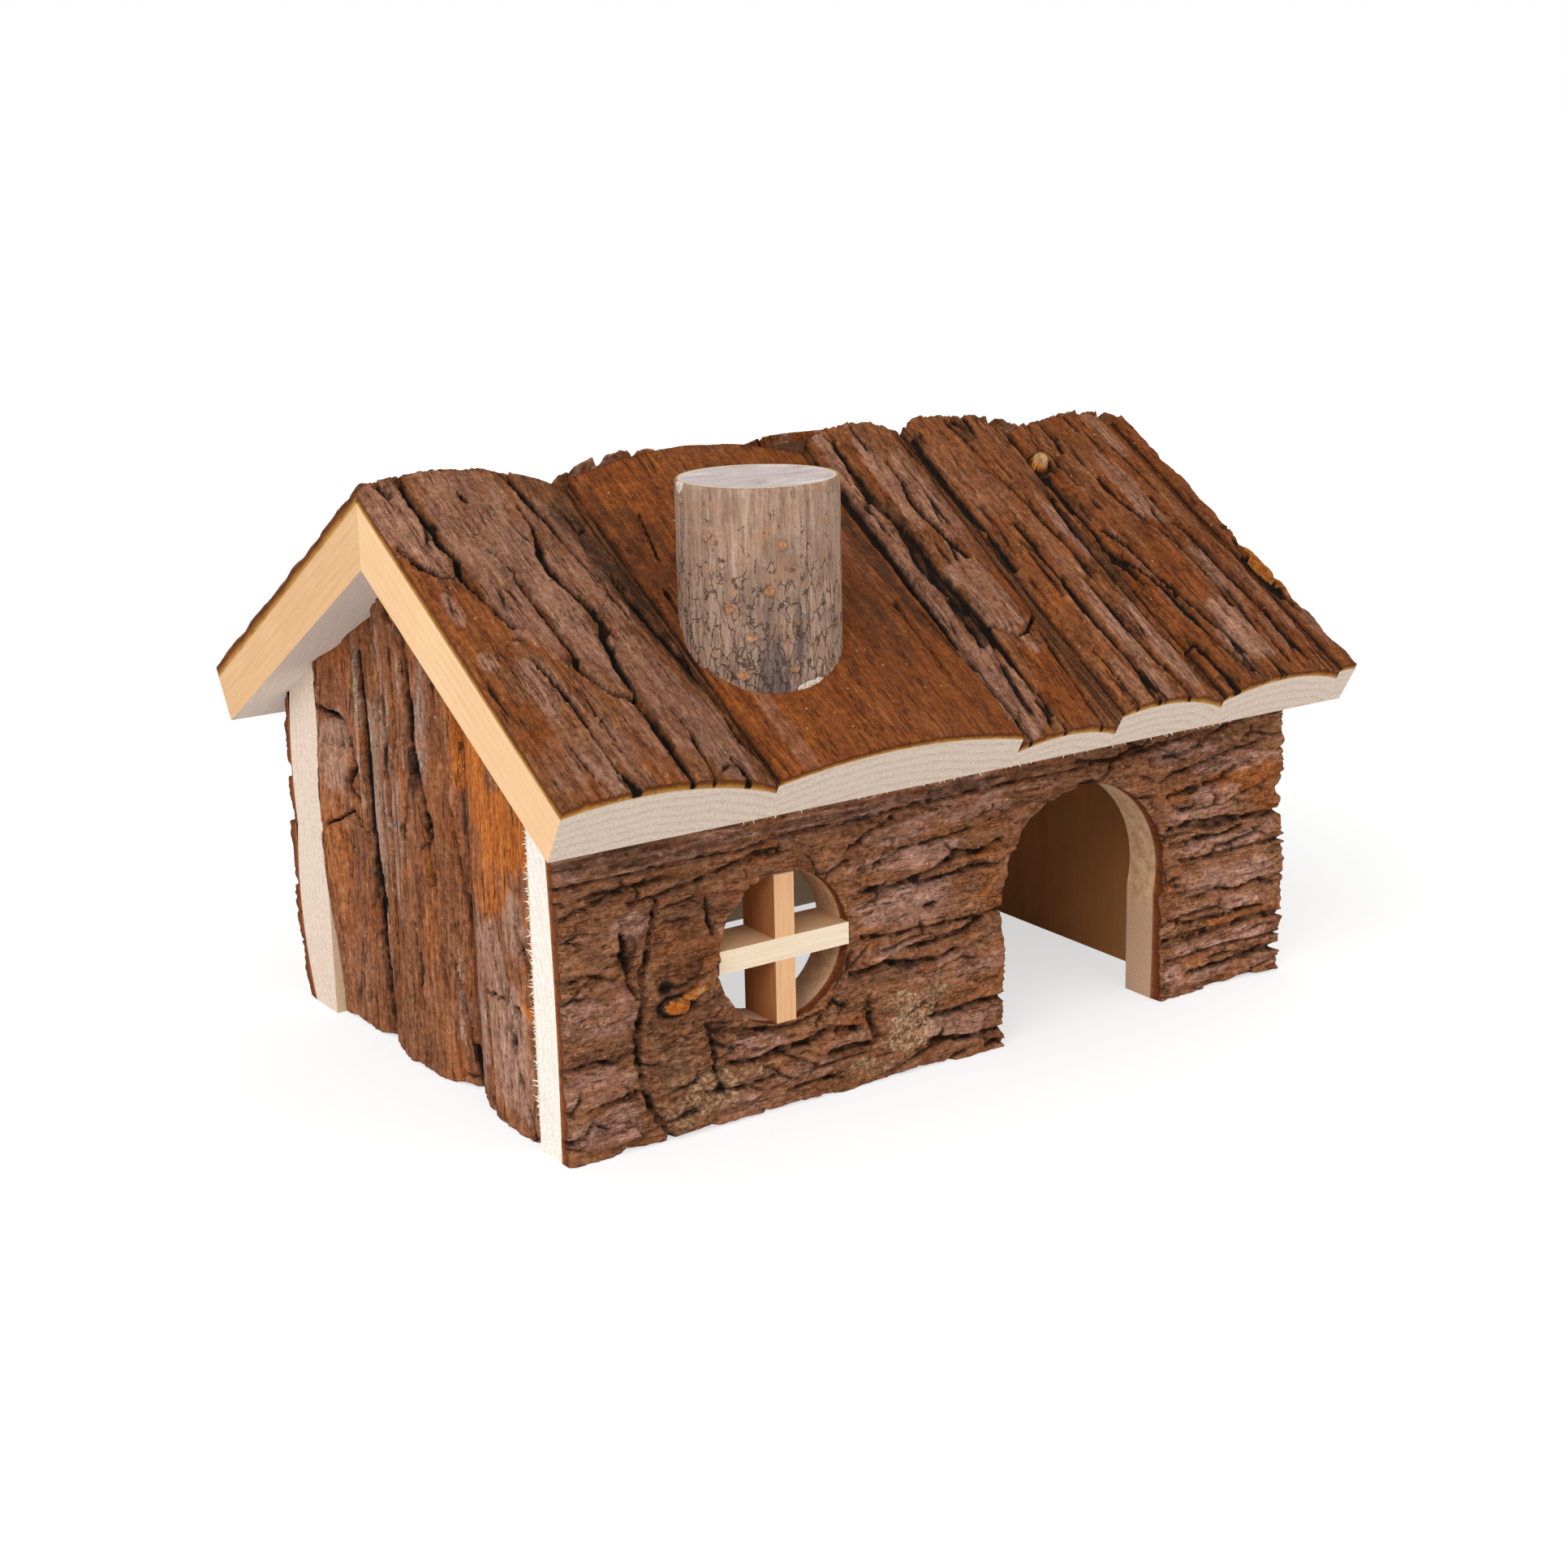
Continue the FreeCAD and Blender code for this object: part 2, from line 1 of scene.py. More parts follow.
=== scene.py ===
import math
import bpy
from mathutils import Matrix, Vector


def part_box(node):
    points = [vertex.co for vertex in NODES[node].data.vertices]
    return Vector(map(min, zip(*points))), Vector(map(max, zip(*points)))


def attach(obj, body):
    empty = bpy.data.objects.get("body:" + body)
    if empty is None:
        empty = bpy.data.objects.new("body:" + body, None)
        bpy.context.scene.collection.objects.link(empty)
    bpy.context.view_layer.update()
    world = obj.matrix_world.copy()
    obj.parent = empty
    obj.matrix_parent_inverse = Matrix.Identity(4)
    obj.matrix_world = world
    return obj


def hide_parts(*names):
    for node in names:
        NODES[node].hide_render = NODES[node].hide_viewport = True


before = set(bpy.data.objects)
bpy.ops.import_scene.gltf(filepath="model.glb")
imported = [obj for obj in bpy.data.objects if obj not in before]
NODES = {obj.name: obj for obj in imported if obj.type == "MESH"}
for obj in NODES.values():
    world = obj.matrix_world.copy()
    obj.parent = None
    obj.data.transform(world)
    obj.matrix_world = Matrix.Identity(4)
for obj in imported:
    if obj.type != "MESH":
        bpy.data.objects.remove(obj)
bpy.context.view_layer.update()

from types import SimpleNamespace

import bpy
import numpy as np
from mathutils import Matrix, Vector
from mathutils.bvhtree import BVHTree

# A house for a small pet, glued up from bark-on log slabs. The frame holds the wood and a plain bark of
# each slab. Here a rind with scales, plates and cracks takes the place of each plain bark, and the wood gets
# rings.
#
# Lengths are in millimetres. X runs along the ridge, -Y is the front and Z is up. On a slab, a is a distance
# along the log and c one across it. Down the roof the distance from the ridge is s.

MM = 0.001
STEP = 0.42  # between the points of a rind
COARSE = 1.4  # how much wider the steps are on hidden sides
COARSE_ROOF = 1.5

# Sizes that the rinds share with the solids.
RIDGE_Y = -1.85
PITCH = math.radians(30.9)
INNER_HALF = 47.5  # ridge plane to the inner face of a long wall
WALL_HEIGHT = 80.8  # floor to the roof's underside at that face
RIDGE_Z = WALL_HEIGHT + INNER_HALF * math.tan(PITCH)
ROOF_END = 100.0
FRONT_SLOPE = 83.5  # ridge to eave, along the roof's underside
BACK_SLOPE = 88.0
BACK_SEAM = 41.0  # floor to the seam between the two back wall slabs
WINDOW_X, WINDOW_Z, WINDOW_R = -40.7, 34.2, 15.8
DOOR_X, DOOR_HALF = 37.5, 22.5
ARCH_Z, ARCH_R = 31.0, 23.2
INSET = 0.03  # how far inside a slab's edges the rays that measure it stay


# ---------------------------------------------------------------- noise

def hashed(ix, iy, seed):
    """A number from 0 to 1 for each pair of whole numbers, the same on every run."""
    n = (ix.astype(np.int64) * 374761393 + iy.astype(np.int64) * 668265263 + seed * 144269504) & 0xFFFFFFFF
    for shift, factor in ((13, 1274126177), (15, 2246822519)):
        n = ((n ^ (n >> shift)) * factor) & 0xFFFFFFFF
    return (n ^ (n >> 16)) / 0xFFFFFFFF


def noise(x, y, seed=0):
    """Gradient noise, about -1 to 1."""
    ix, iy = np.floor(x), np.floor(y)
    fx, fy = x - ix, y - iy
    ux, uy = (f * f * f * (f * (f * 6 - 15) + 10) for f in (fx, fy))
    total = 0
    for dx in (0, 1):
        for dy in (0, 1):
            angle = hashed(ix + dx, iy + dy, seed) * 2 * np.pi
            slope = np.cos(angle) * (fx - dx) + np.sin(angle) * (fy - dy)
            total = total + slope * (ux if dx else 1 - ux) * (uy if dy else 1 - uy)
    return total * 1.5


def fbm(x, y, octaves, seed):
    """Noise in finer and finer octaves, about -1 to 1."""
    total = 0
    for k in range(octaves):
        total = total + 0.5 ** k * noise(x * 2 ** k, y * 2 ** k, seed + 17 * k)
    return total / 1.6


def smooth(low, high, value):
    """From 0 at low to 1 at high in a soft S. Low may be the greater of the two."""
    t = np.clip((value - low) / (high - low), 0, 1)
    return t * t * (3 - 2 * t)


def peak(value, width, centre=0.0):
    """A soft bump of height 1."""
    return np.exp(-((value - centre) / width) ** 2)


def dome(distance):
    """A half ball of radius 1."""
    return np.sqrt(np.clip(1 - distance ** 2, 0, 1))


def plates(a, c, long, wide, seed):
    """Cells stretched along the log: distance to the nearest border in mm, and a number for each cell."""
    x, y = a / long, c / wide
    ix, iy = np.floor(x), np.floor(y)
    near, far = np.full(x.shape, 99.0), np.full(x.shape, 99.0)
    near_x, near_y, far_x, far_y, number = (np.zeros(x.shape) for _ in range(5))
    for dx in (-1, 0, 1):
        for dy in (-1, 0, 1):
            cell_x, cell_y = ix + dx, iy + dy
            px = cell_x + 0.5 + 0.9 * (hashed(cell_x, cell_y, seed) - 0.5)
            py = cell_y + 0.5 + 0.9 * (hashed(cell_x, cell_y, seed + 7) - 0.5)
            d = np.hypot(px - x, py - y)
            first = d < near
            second = ~first & (d < far)
            far_x = np.where(first, near_x, np.where(second, px, far_x))
            far_y = np.where(first, near_y, np.where(second, py, far_y))
            far = np.where(first, near, np.where(second, d, far))
            number = np.where(first, hashed(cell_x, cell_y, seed + 13), number)
            near_x, near_y = np.where(first, px, near_x), np.where(first, py, near_y)
            near = np.where(first, d, near)
    gx, gy = far_x - near_x, far_y - near_y
    length = np.maximum(np.hypot(gx, gy), 1e-6)
    border = (far ** 2 - near ** 2) / (2 * length)
    return border / np.hypot(gx / length / long, gy / length / wide), number


# ---------------------------------------------------------------- bark relief

STYLES = {
    # layer: size of the layered scales along and across; steps and rise: number of layers and height of each.
    # plate: size of the plates; crack: width and depth between them; open: share of the borders that gape.
    # fibre: height and length of the fine strands; flake: size and rise of the small flakes on the plates.
    "plated": dict(layer=(30, 8), steps=2.6, rise=0.20, plate=(46, 12), crack=(0.36, 0.6), open=0.32,
                   swell=0.35, fibre=(0.10, 9), flake=(9, 3.2, 0.06)),
    "smooth": dict(layer=(60, 14), steps=1.0, rise=0.07, plate=(90, 18), crack=(0.22, 0.12), open=0.15,
                   swell=0.4, fibre=(0.05, 12), flake=(14, 4.0, 0.02)),
    "ridged": dict(layer=(60, 5), steps=2.6, rise=0.26, plate=(90, 7.0), crack=(0.42, 0.8), open=0.42,
                   swell=0.3, fibre=(0.13, 16), flake=(26, 2.6, 0.07)),
    "scaly": dict(layer=(14, 4.8), steps=3.4, rise=0.38, plate=(15, 5.4), crack=(0.32, 0.8), open=0.42,
                  swell=0.8, fibre=(0.08, 3), flake=(5.2, 2.3, 0.32)),
    "gable": dict(layer=(36, 5), steps=2.2, rise=0.20, plate=(60, 7), crack=(0.42, 0.8), open=0.40,
                  swell=0.35, fibre=(0.12, 14), flake=(22, 2.4, 0.07)),
}
# What a rind tells its material at each point, in two layers of four.
MARKS = {"marks": ("crack", "grey", "warm", "stain_and_shade"), "tones": ("shade", "dust", "section", "twig")}


def steepness(value, a, c):
    """Slope of a value per millimetre on a grid of places a, c."""
    rows = np.maximum(np.hypot(np.gradient(a, axis=0), np.gradient(c, axis=0)), 0.1)
    columns = np.maximum(np.hypot(np.gradient(a, axis=1), np.gradient(c, axis=1)), 0.1)
    return np.hypot(np.gradient(value, axis=0) / rows, np.gradient(value, axis=1) / columns) + 0.02


def bark_relief(a, c, style, seed):
    """Plain bark over a grid: its height in mm, its marks from 0 to 1, and a tint that differs by scale."""
    s = STYLES[style]
    wa = a + 3.0 * fbm(a / 16, c / 6, 4, seed + 1)
    wc = c + 1.6 * fbm(a / 22, c / 12, 3, seed + 2) + 0.5 * fbm(a / 3.0, c / 1.8, 3, seed + 3)

    gap, plate = plates(wa, wc, *s["plate"], seed + 4)
    width, depth = s["crack"]
    gapes = smooth(-0.25, 0.25, noise(a / 12, c / 5, seed + 5) - 1 + 2 * s["open"])
    crack = peak(gap, width * (0.5 + gapes)) * (0.15 + 0.85 * gapes)

    # Layered scales are a staircase, with steps that are as sharp where it is flat as where it is steep.
    along, across = s["layer"]
    stairs = s["steps"] * (fbm(wa / along, wc / across, 4, seed + 6) + 0.7 * plate)
    level = np.floor(stairs)
    fall = steepness(stairs, a, c)
    above = (stairs - level) / fall
    below = (level + 1 - stairs) / fall
    height = s["rise"] * (level + smooth(0, 0.5, above) - 0.5 * s["steps"])
    lip = peak(below, 0.45) * smooth(0.1, 0.5, 0.5 + noise(a / 7, c / 3, seed + 7))
    height = height + s["swell"] * fbm(a / 40, c / 12, 2, seed + 8)
    strand, strand_length = s["fibre"]
    height = height + strand * fbm(a / strand_length, c / 0.9, 4, seed + 9)

    long, wide, thick = s["flake"]
    edge, flake = plates(wa, wc, long, wide, seed + 14)
    height = height + thick * (flake - 0.5) * smooth(0.05, 0.4, edge)
    split = peak(edge, 0.2) * smooth(0.0, 0.5, noise(a / 9, c / 3, seed + 15)) * min(1, thick * 9)
    height = height + 0.05 * fbm(a / 0.9, c / 0.9, 2, seed + 11) - depth * crack - 0.12 * lip - 0.15 * split

    # Painted highlight: the shade mark is lighter on the upper edge of each step and along the flakes' edges.
    painted_highlight = peak(above, 0.35, 0.5) * s["rise"] * 2 + 0.5 * peak(edge, 0.25, 0.5) * min(1, thick * 6)
    scale = np.floor(plate * 97)
    shade = 0.32 * hashed(level, scale, seed + 10) + 0.3 * plate + 0.23 * flake + 0.3 * painted_highlight
    tint = hashed(level + np.floor(flake * 3), scale, seed + 12)
    # Painted shadow: the crack mark darkens the foot of each step, under the scale above it.
    crack = np.maximum(crack * 0.85, lip * 0.45 * min(1, s["rise"] * 5))
    crack = np.maximum(crack, 0.55 * split)
    none = np.zeros_like(height)
    return SimpleNamespace(height=height, crack=crack, shade=shade, tint=tint,
                           grey=none, warm=none, stain_and_shade=none, dust=none, twig=none)


def fissures(a, c, lines, seed, strength=1.0, jag=(9, 3), broken=0.0):
    """Long cracks: depth in mm and the painted shade in them. Each point of a line is (a, c, width).

    Jag is the length of the wander along the log and across it, and broken says how much of the lines closes.
    """
    depth, dark = np.zeros(a.shape), np.zeros(a.shape)
    ja = a + 0.5 * fbm(a / jag[0], c / jag[1], 3, seed) + 0.25 * fbm(a / 1.8, c / 1.0, 2, seed + 34)
    jc = c + 0.5 * fbm(a / (1.8 * jag[0]), c / jag[1], 3, seed + 31)
    jc = jc + 0.22 * fbm(a / 2.0, c / 1.0, 3, seed + 35)
    patchy = 0.92 + 0.2 * noise(a / 3.5, c / 1.0, seed + 32)
    strands = smooth(-0.25, 0.35, fbm(ja / jag[0], jc / 0.55, 3, seed + 33))
    gaps = noise(a / (0.9 * jag[0]), c / jag[1], seed + 36)
    gaps = gaps + 0.5 * noise(a / (0.35 * jag[0]), c / (0.45 * jag[1]), seed + 37)
    open_here = 1 - broken * smooth(0.25, -0.25, gaps)
    for line in lines:
        points = np.array(line, float)
        margin = points[:, 2].max() * 1.5 + 1.5
        inside = (ja > points[:, 0].min() - margin) & (ja < points[:, 0].max() + margin)
        inside &= (jc > points[:, 1].min() - margin) & (jc < points[:, 1].max() + margin)
        if not inside.any():
            continue
        near = distance_in_widths(ja[inside], jc[inside], points)
        wide = min(points[:, 2].mean(), 2.2)
        cut = 1 - smooth(0.7, 1.15, near)
        lip = peak(near, 0.45, 1.6)
        # The floor of a wide crack is torn fibre. The painted shade in the crack is darkest against its
        # walls.
        fibrous = smooth(0.9, 2.4, wide) * (1 - smooth(0.3, 0.85, near))
        fibrous = fibrous * strands[inside]
        floor = (0.9 + 1.0 * wide) * cut * strength * (1 - 0.35 * fibrous)
        depth[inside] = np.where(cut > 0.01, np.maximum(depth[inside], floor), depth[inside] - 0.14 * lip)
        shadow = min(1, 0.75 + 0.2 * wide) * (1 - smooth(0.75, 1.15, near)) * (1 - 0.55 * fibrous)
        dark[inside] = np.maximum(dark[inside], shadow)
    return depth * open_here, np.clip(dark * patchy * strength * open_here, 0, 1)


def distance_in_widths(a, c, points):
    """Distance to a line of points (a, c, width), over half the line's width there."""
    near = np.full(a.shape, 99.0)
    for (a0, c0, w0), (a1, c1, w1) in zip(points[:-1], points[1:]):
        da, dc = a1 - a0, c1 - c0
        t = np.clip(((a - a0) * da + (c - c0) * dc) / (da * da + dc * dc), 0, 1)
        away = np.hypot(a - a0 - t * da, c - c0 - t * dc)
        near = np.minimum(near, away / (0.5 * (w0 + (w1 - w0) * t) + 0.12))
    return near


def spots(a, c, blobs, seed):
    """Soft-edged patches. Each blob is (a, c, half length, half width, strength)."""
    total = np.zeros(a.shape)
    wobble = 0.38 * fbm(a / 8, c / 3, 5, seed)
    for a0, c0, ra, rc, strength in blobs:
        d = np.hypot((a - a0) / ra, (c - c0) / rc) + wobble
        total = np.maximum(total, strength * (1 - smooth(0.86, 1.04, d)))
    return total


def guess_patches(bark, a, c, seed, warm_from=0.0, warm_to=0.6):
    """Grey and warm patches for a slab that the photograph doesn't show."""
    bark.grey = smooth(-0.1, 0.5, fbm(a / 25, c / 6, 3, seed + 50))
    bark.warm = smooth(warm_from, warm_to, fbm(a / 20, c / 7, 3, seed + 60))


def tint_scales(bark, a, c, seed, warmth, warm_spread, grey_least, grey_spread=1.0):
    """Give each scale its own share of warm inner bark and of grey."""
    warm = np.maximum(bark.warm, warmth + 0.3 * fbm(a / 18, c / 6, 3, seed + 61))
    bark.warm = warm + warm_spread * (0.5 - bark.tint)
    bark.grey = np.clip(bark.grey * (grey_least + grey_spread * bark.tint), 0, 1)


# ---------------------------------------------------------------- marks placed one by one

# Roof, front half: points are (s down the slope, x, width).
ROOF_FISSURES = {
    1: [
        [(-8, -91, 1.5), (0, -91.5, 1.2), (8, -91, 1.4), (12, -91.5, 1.6), (17, -90, 1.4),
         (22, -91.5, 1.6), (30, -90, 0.9), (34, -88.5, 0.8), (38, -88, 0.5)],
        [(-8, -96, 1.3), (-4, -95, 1.2)],
        [(10, -99, 0.5), (17, -97, 1.4), (20, -95, 1.3), (22, -93, 0.6)],
        [(47, -88.5, 0.6), (52, -87.5, 1.2), (58, -86.8, 1.6), (65, -86.5, 0.8), (72, -86.3, 0.4),
         (78, -86.3, 0.5), (81, -85, 1.8), (84, -84.8, 1.8)],
        [(-8, -67.5, 1.8), (-2, -66, 2), (4, -65.5, 2.2), (9, -64.5, 1.6), (14, -64, 1), (20, -63.5, 0.8),
         (26, -62.5, 0.5)],
        [(3, -69.5, 1), (9, -69.5, 0.9), (14, -70.5, 1), (18, -72, 2.2), (24, -72.3, 2.3), (29, -71, 1.6),
         (34, -69.2, 1.9), (39, -68.8, 2.4), (43, -68, 1.2)],
        [(40, -69.5, 1), (44, -71, 1.7), (48, -71.5, 1.7), (53, -72.5, 2.1), (58, -72.5, 1.2),
         (61, -73.5, 0.7)],
        [(16, -82.5, 0.4), (22, -81, 0.6), (30, -81, 0.5), (36, -80.5, 0.7), (42, -80, 1),
         (48, -79.5, 1.2), (51, -81, 1.3), (55, -79.5, 1), (59, -77.5, 1.6), (60.5, -75, 1.3),
         (63, -73.8, 1.4), (70, -73.5, 1.9), (76, -73.2, 1.9), (84, -73, 1.4)],
        [(64, -67, 0.5), (68, -66.3, 0.8), (72, -66.5, 0.8), (76, -67.3, 0.8), (84, -68, 0.7)],
        [(-1.5, -80.6, 1.3), (1, -80.4, 1.3)],
        [(78, -61, 0.8), (80, -60, 1.6), (84, -60, 1.4)],
        [(41, -89.5, 0.6), (41.5, -87.5, 0.6)],
        [(24, -58.5, 1.2), (34, -57.5, 2.6), (42, -56, 3.2), (50, -54.2, 3), (57, -53.2, 2.2),
         (63, -53.4, 1.4)],
        [(66, -54.8, 0.9), (72, -55, 1.6), (76, -53, 1.4)],
        [(56, -84, 0.4), (66, -83, 0.4), (74, -83.5, 0.3)],
        [(70, -92, 0.5), (78, -91, 0.5)],
    ],
    2: [
        [(46, 4.5, 1.2), (52, 5, 0.9), (60, 5.5, 0.8)],
        [(44, -1.5, 0.9), (50, -2, 0.6), (58, -2.2, 0.5), (66, -2, 0.6)],
        [(30, -49, 0.8), (44, -50.5, 0.8), (54, -51, 0.6)],
        [(8, -44, 0.4), (22, -46, 0.5)],
    ],
    3: [
        [(-5, 12.3, 1), (2, 12, 1.3), (10, 12, 2.4), (16, 12.5, 1.7), (21, 13.5, 1.7), (26, 14, 3.3),
         (32, 13.8, 4.4), (38, 13.8, 3.6), (44, 15, 3.8), (50, 16, 2.9), (57, 16.5, 2.2), (63, 16.5, 1.9),
         (70, 16.8, 1.2), (76, 17.8, 1), (84, 18.2, 1)],
        [(45, 12.8, 1.4), (52, 13.2, 1.1), (58, 13.2, 0.7)],
        [(3, 21.5, 0.8), (10, 21.5, 1.2), (16, 20.3, 1.4), (23, 21.5, 2), (29, 23.5, 2.2), (33, 25, 2)],
        [(-8, 18.5, 0.6), (0, 18.8, 0.8)],
        [(53.5, 17.5, 0.4), (56, 20, 0.5), (57, 23, 0.6), (56, 26, 0.5), (53, 30, 0.6), (51, 32, 0.6)],
        [(75, 16, 0.9), (80, 16.3, 0.8)],
        [(8, 7.4, 1.5), (20, 7, 2.2), (35, 7, 2.6), (45, 7.4, 2), (55, 7.8, 1.2), (65, 8.5, 0.9),
         (75, 9, 0.8), (84, 9.5, 0.8)],
        [(-6, 31, 2), (0, 31.5, 1.6), (6, 32.4, 1.2)],
        [(56, 30.5, 1.4), (62, 29.5, 1.6), (70, 29, 1), (78, 28.5, 1.6), (84, 28, 0.8)],
    ],
    4: [
        [(27, 41, 0.7), (33, 41.5, 1.6), (40, 41, 1.2), (50, 41.3, 1.8), (60, 41, 1.6), (68, 41.5, 1.2),
         (76, 42, 1), (84, 42, 0.8)],
        [(33, 39, 0.7), (42, 38.8, 1), (50, 39, 0.7)],
        [(-7, 44.5, 1.4), (-2, 45.5, 1.2), (3, 46.5, 1), (12, 46.5, 0.9), (18, 48, 1.2), (25, 48.5, 1.8),
         (33, 49.5, 1.6), (40, 50.5, 1.6), (45, 51, 1)],
        [(47, 47.5, 1.4), (55, 47.8, 1.7), (62, 48, 1.4), (70, 49, 1.2), (77, 50, 1.2), (84, 50.5, 1)],
        [(18, 59.5, 2), (24, 58, 2.8), (30, 57.5, 2.6), (38, 57.5, 2.6), (45, 57, 2.6), (52, 57.5, 2.2),
         (60, 57.5, 2.2), (66, 59, 2), (72, 60.3, 1.5), (80, 61, 1.2)],
        [(67, 36, 0.7), (75, 36.3, 0.6), (84, 36.5, 0.5)],
        [(-7, 47, 2.2), (-4, 49, 1.4)],
        [(-4, 34, 1.4), (8, 33.6, 1.2), (20, 33.4, 1), (28, 34, 0.9), (40, 33.3, 0.8)],
    ],
    5: [
        [(-8, 62.5, 2.2), (-3, 63.5, 1.6), (2, 63.4, 0.8)],
        [(10, 64, 2), (20, 63.5, 1.5), (28, 63.8, 0.9), (35, 63.6, 1.4), (41, 64, 1.8), (48, 64.5, 0.8)],
        [(68, 64, 1.2), (76, 64.5, 2), (84, 64.8, 1.6)],
        [(-5, 72.5, 0.6), (0, 73, 1), (4, 72.3, 1.3)],
        [(15, 75, 0.8), (22, 75.3, 1.2), (28, 76.8, 1.2), (32, 77.8, 1.3), (36, 79.5, 0.9), (46, 80, 1.2),
         (54, 80.3, 1), (61, 79.5, 1.5)],
        [(30, 66, 0.8), (35, 67.5, 1.2), (40, 68.3, 1.2), (48, 69, 1.2), (55, 69.8, 1), (62, 71, 1.3),
         (70, 72.3, 1.3), (75, 73, 1.2)],
        [(40, 65.5, 0.8), (47, 67, 1), (54, 68, 1.4), (60, 68, 1.4), (70, 69, 1), (80, 70.5, 0.9)],
        [(33, 84.5, 1.4), (37, 86, 2.6), (43, 86.3, 2.2), (50, 86, 1.8), (56, 87, 2.4), (62, 87.2, 2),
         (68, 87, 2), (73, 87.5, 2.8), (79, 88, 2)],
        [(-6, 80, 1.5), (-2, 80.5, 1.6)],
        [(-7, 92, 2), (-2, 92.8, 1.5), (4, 92.8, 0.8)],
        [(66, 82.5, 0.6), (74, 82, 0.8), (80, 81.5, 0.8)],
        [(20, 84, 0.5), (30, 84.3, 0.8)],
        [(6, 68.5, 0.4), (16, 68.8, 0.5)],
    ],
    6: [
        [(35.5, 97.3, 1), (35.8, 100, 1.2)],
        [(46, 96.3, 1.5), (52, 96.8, 2.2), (58, 96.6, 1.8), (64, 97, 0.8)],
    ],
}
# Patches are (s, x, half length, half width, strength): weathered grey, orange inner bark, and dark patches,
# which are partly stains and partly painted shade along furrows and by the seam near the chimney.
ROOF_GREY = {
    1: [(0, -97, 14, 4, 0.75), (8, -94, 16, 3.5, 0.9), (30, -84.5, 20, 4.5, 0.9), (6, -80, 24, 10, 0.8),
        (42, -76, 18, 4.2, 1), (28, -76, 16, 5, 0.9), (66, -89, 22, 4.5, 0.85), (70, -83, 16, 2.5, 0.7),
        (30, -96.5, 5, 1.6, 0.9), (45, -96.5, 3, 1.8, 0.9), (74, -95, 9, 4, 0.7), (55, -77, 6, 3, 0.8),
        (60, -66, 20, 7, 0.7), (20, -66, 24, 6, 0.55), (72, -61, 14, 6, 0.8), (72, -77, 12, 3, 0.5)],
    2: [(74, -45.5, 14, 2, 0.55), (20, -3, 20, 3, 0.2)],
    3: [(35, 9.5, 60, 2.2, 1), (8, 18, 18, 2.6, 0.9), (44, 22.5, 14, 6.5, 1), (14, 26, 16, 5, 0.7),
        (70, 12.5, 14, 4, 0.9), (59, 24.5, 4, 1.5, 1)],
    4: [(30, 53.5, 12, 2.5, 1), (68, 45, 20, 2.6, 0.9), (66, 54.5, 16, 4, 0.95), (78, 38, 8, 2.5, 0.5),
        (40, 45.5, 14, 2.4, 0.45), (12, 39, 16, 5, 0.25)],
    5: [(20, 80.5, 13, 3.8, 1), (68, 76, 10, 4.2, 1), (52, 83, 13, 2.6, 0.9), (45, 67, 20, 1, 0.7),
        (74, 70.8, 10, 1.4, 0.7), (60, 92, 14, 2.2, 0.35), (0, 88, 10, 3.5, 0.6),
        (72, 84.5, 8, 1.8, 0.7)],
    6: [(70, 98, 8, 2, 0.4)],
}
ROOF_WARM = {
    1: [(35, -98.5, 34, 3.2, 0.9), (34, -93, 15, 4.5, 0.75), (66, -95.5, 9, 3, 0.7), (46, -83, 6, 3, 0.6),
        (41, -69, 3, 1.3, 1), (80, -90, 5, 6, 0.4)],
    2: [(60, -30, 40, 30, 0.35), (78, -22, 4, 3, 0.6)],
    3: [(6, 15, 12, 1.5, 0.9), (72, 24, 14, 6, 1), (44, 30.5, 8, 2.5, 0.7)],
    4: [(10, 40, 16, 6, 0.55), (45, 36.5, 22, 2.6, 0.6), (14, 54, 14, 5, 0.55), (70, 34, 14, 2, 0.6)],
    5: [(46, 74.5, 14, 3.4, 1), (24, 72, 14, 3, 0.6), (4, 78, 6, 10, 0.5), (40, 91, 30, 4, 0.5),
        (8, 68, 12, 4, 0.35)],
    6: [(40, 98, 50, 4, 0.7)],
}
ROOF_DARK = {
    1: [(24, -57.5, 24, 4, 0.75), (8, -60, 8, 5, 0.45), (48, -55, 10, 3, 0.8), (74, -63, 8, 4, 0.25)],
    2: [(28, -47, 24, 7, 0.45), (50, -10, 12, 5, 0.42), (30, 2.5, 26, 2.6, 0.75), (4, -5, 8, 8, 0.2),
        (16, -51, 20, 2.5, 0.45), (38, -22, 6, 8, 0.25)],
    3: [(36, 14, 24, 2.2, 0.75), (44, 7, 40, 0.8, 0.6)],
    4: [(34, 58, 22, 2.6, 0.75), (-4, 47, 4, 3, 0.6)],
    5: [(58, 87, 24, 1.6, 0.6), (10, 63.5, 8, 1.5, 0.5)],
    6: [(52, 97.3, 7, 1.2, 0.7)],
}

# Stubs of twigs: s, x, half length, half width, height, and how fresh. Up to 0.5 shows gum and 1 pale wood.
ROOF_TWIGS = {
    5: [(5.5, 64.8, 2.3, 1.6, 2.2, 1)],
    6: [(49, 98.2, 6.5, 1.5, 0.5, 0.32), (58, 98.4, 3.5, 0.9, 0.3, 0.3)],
}

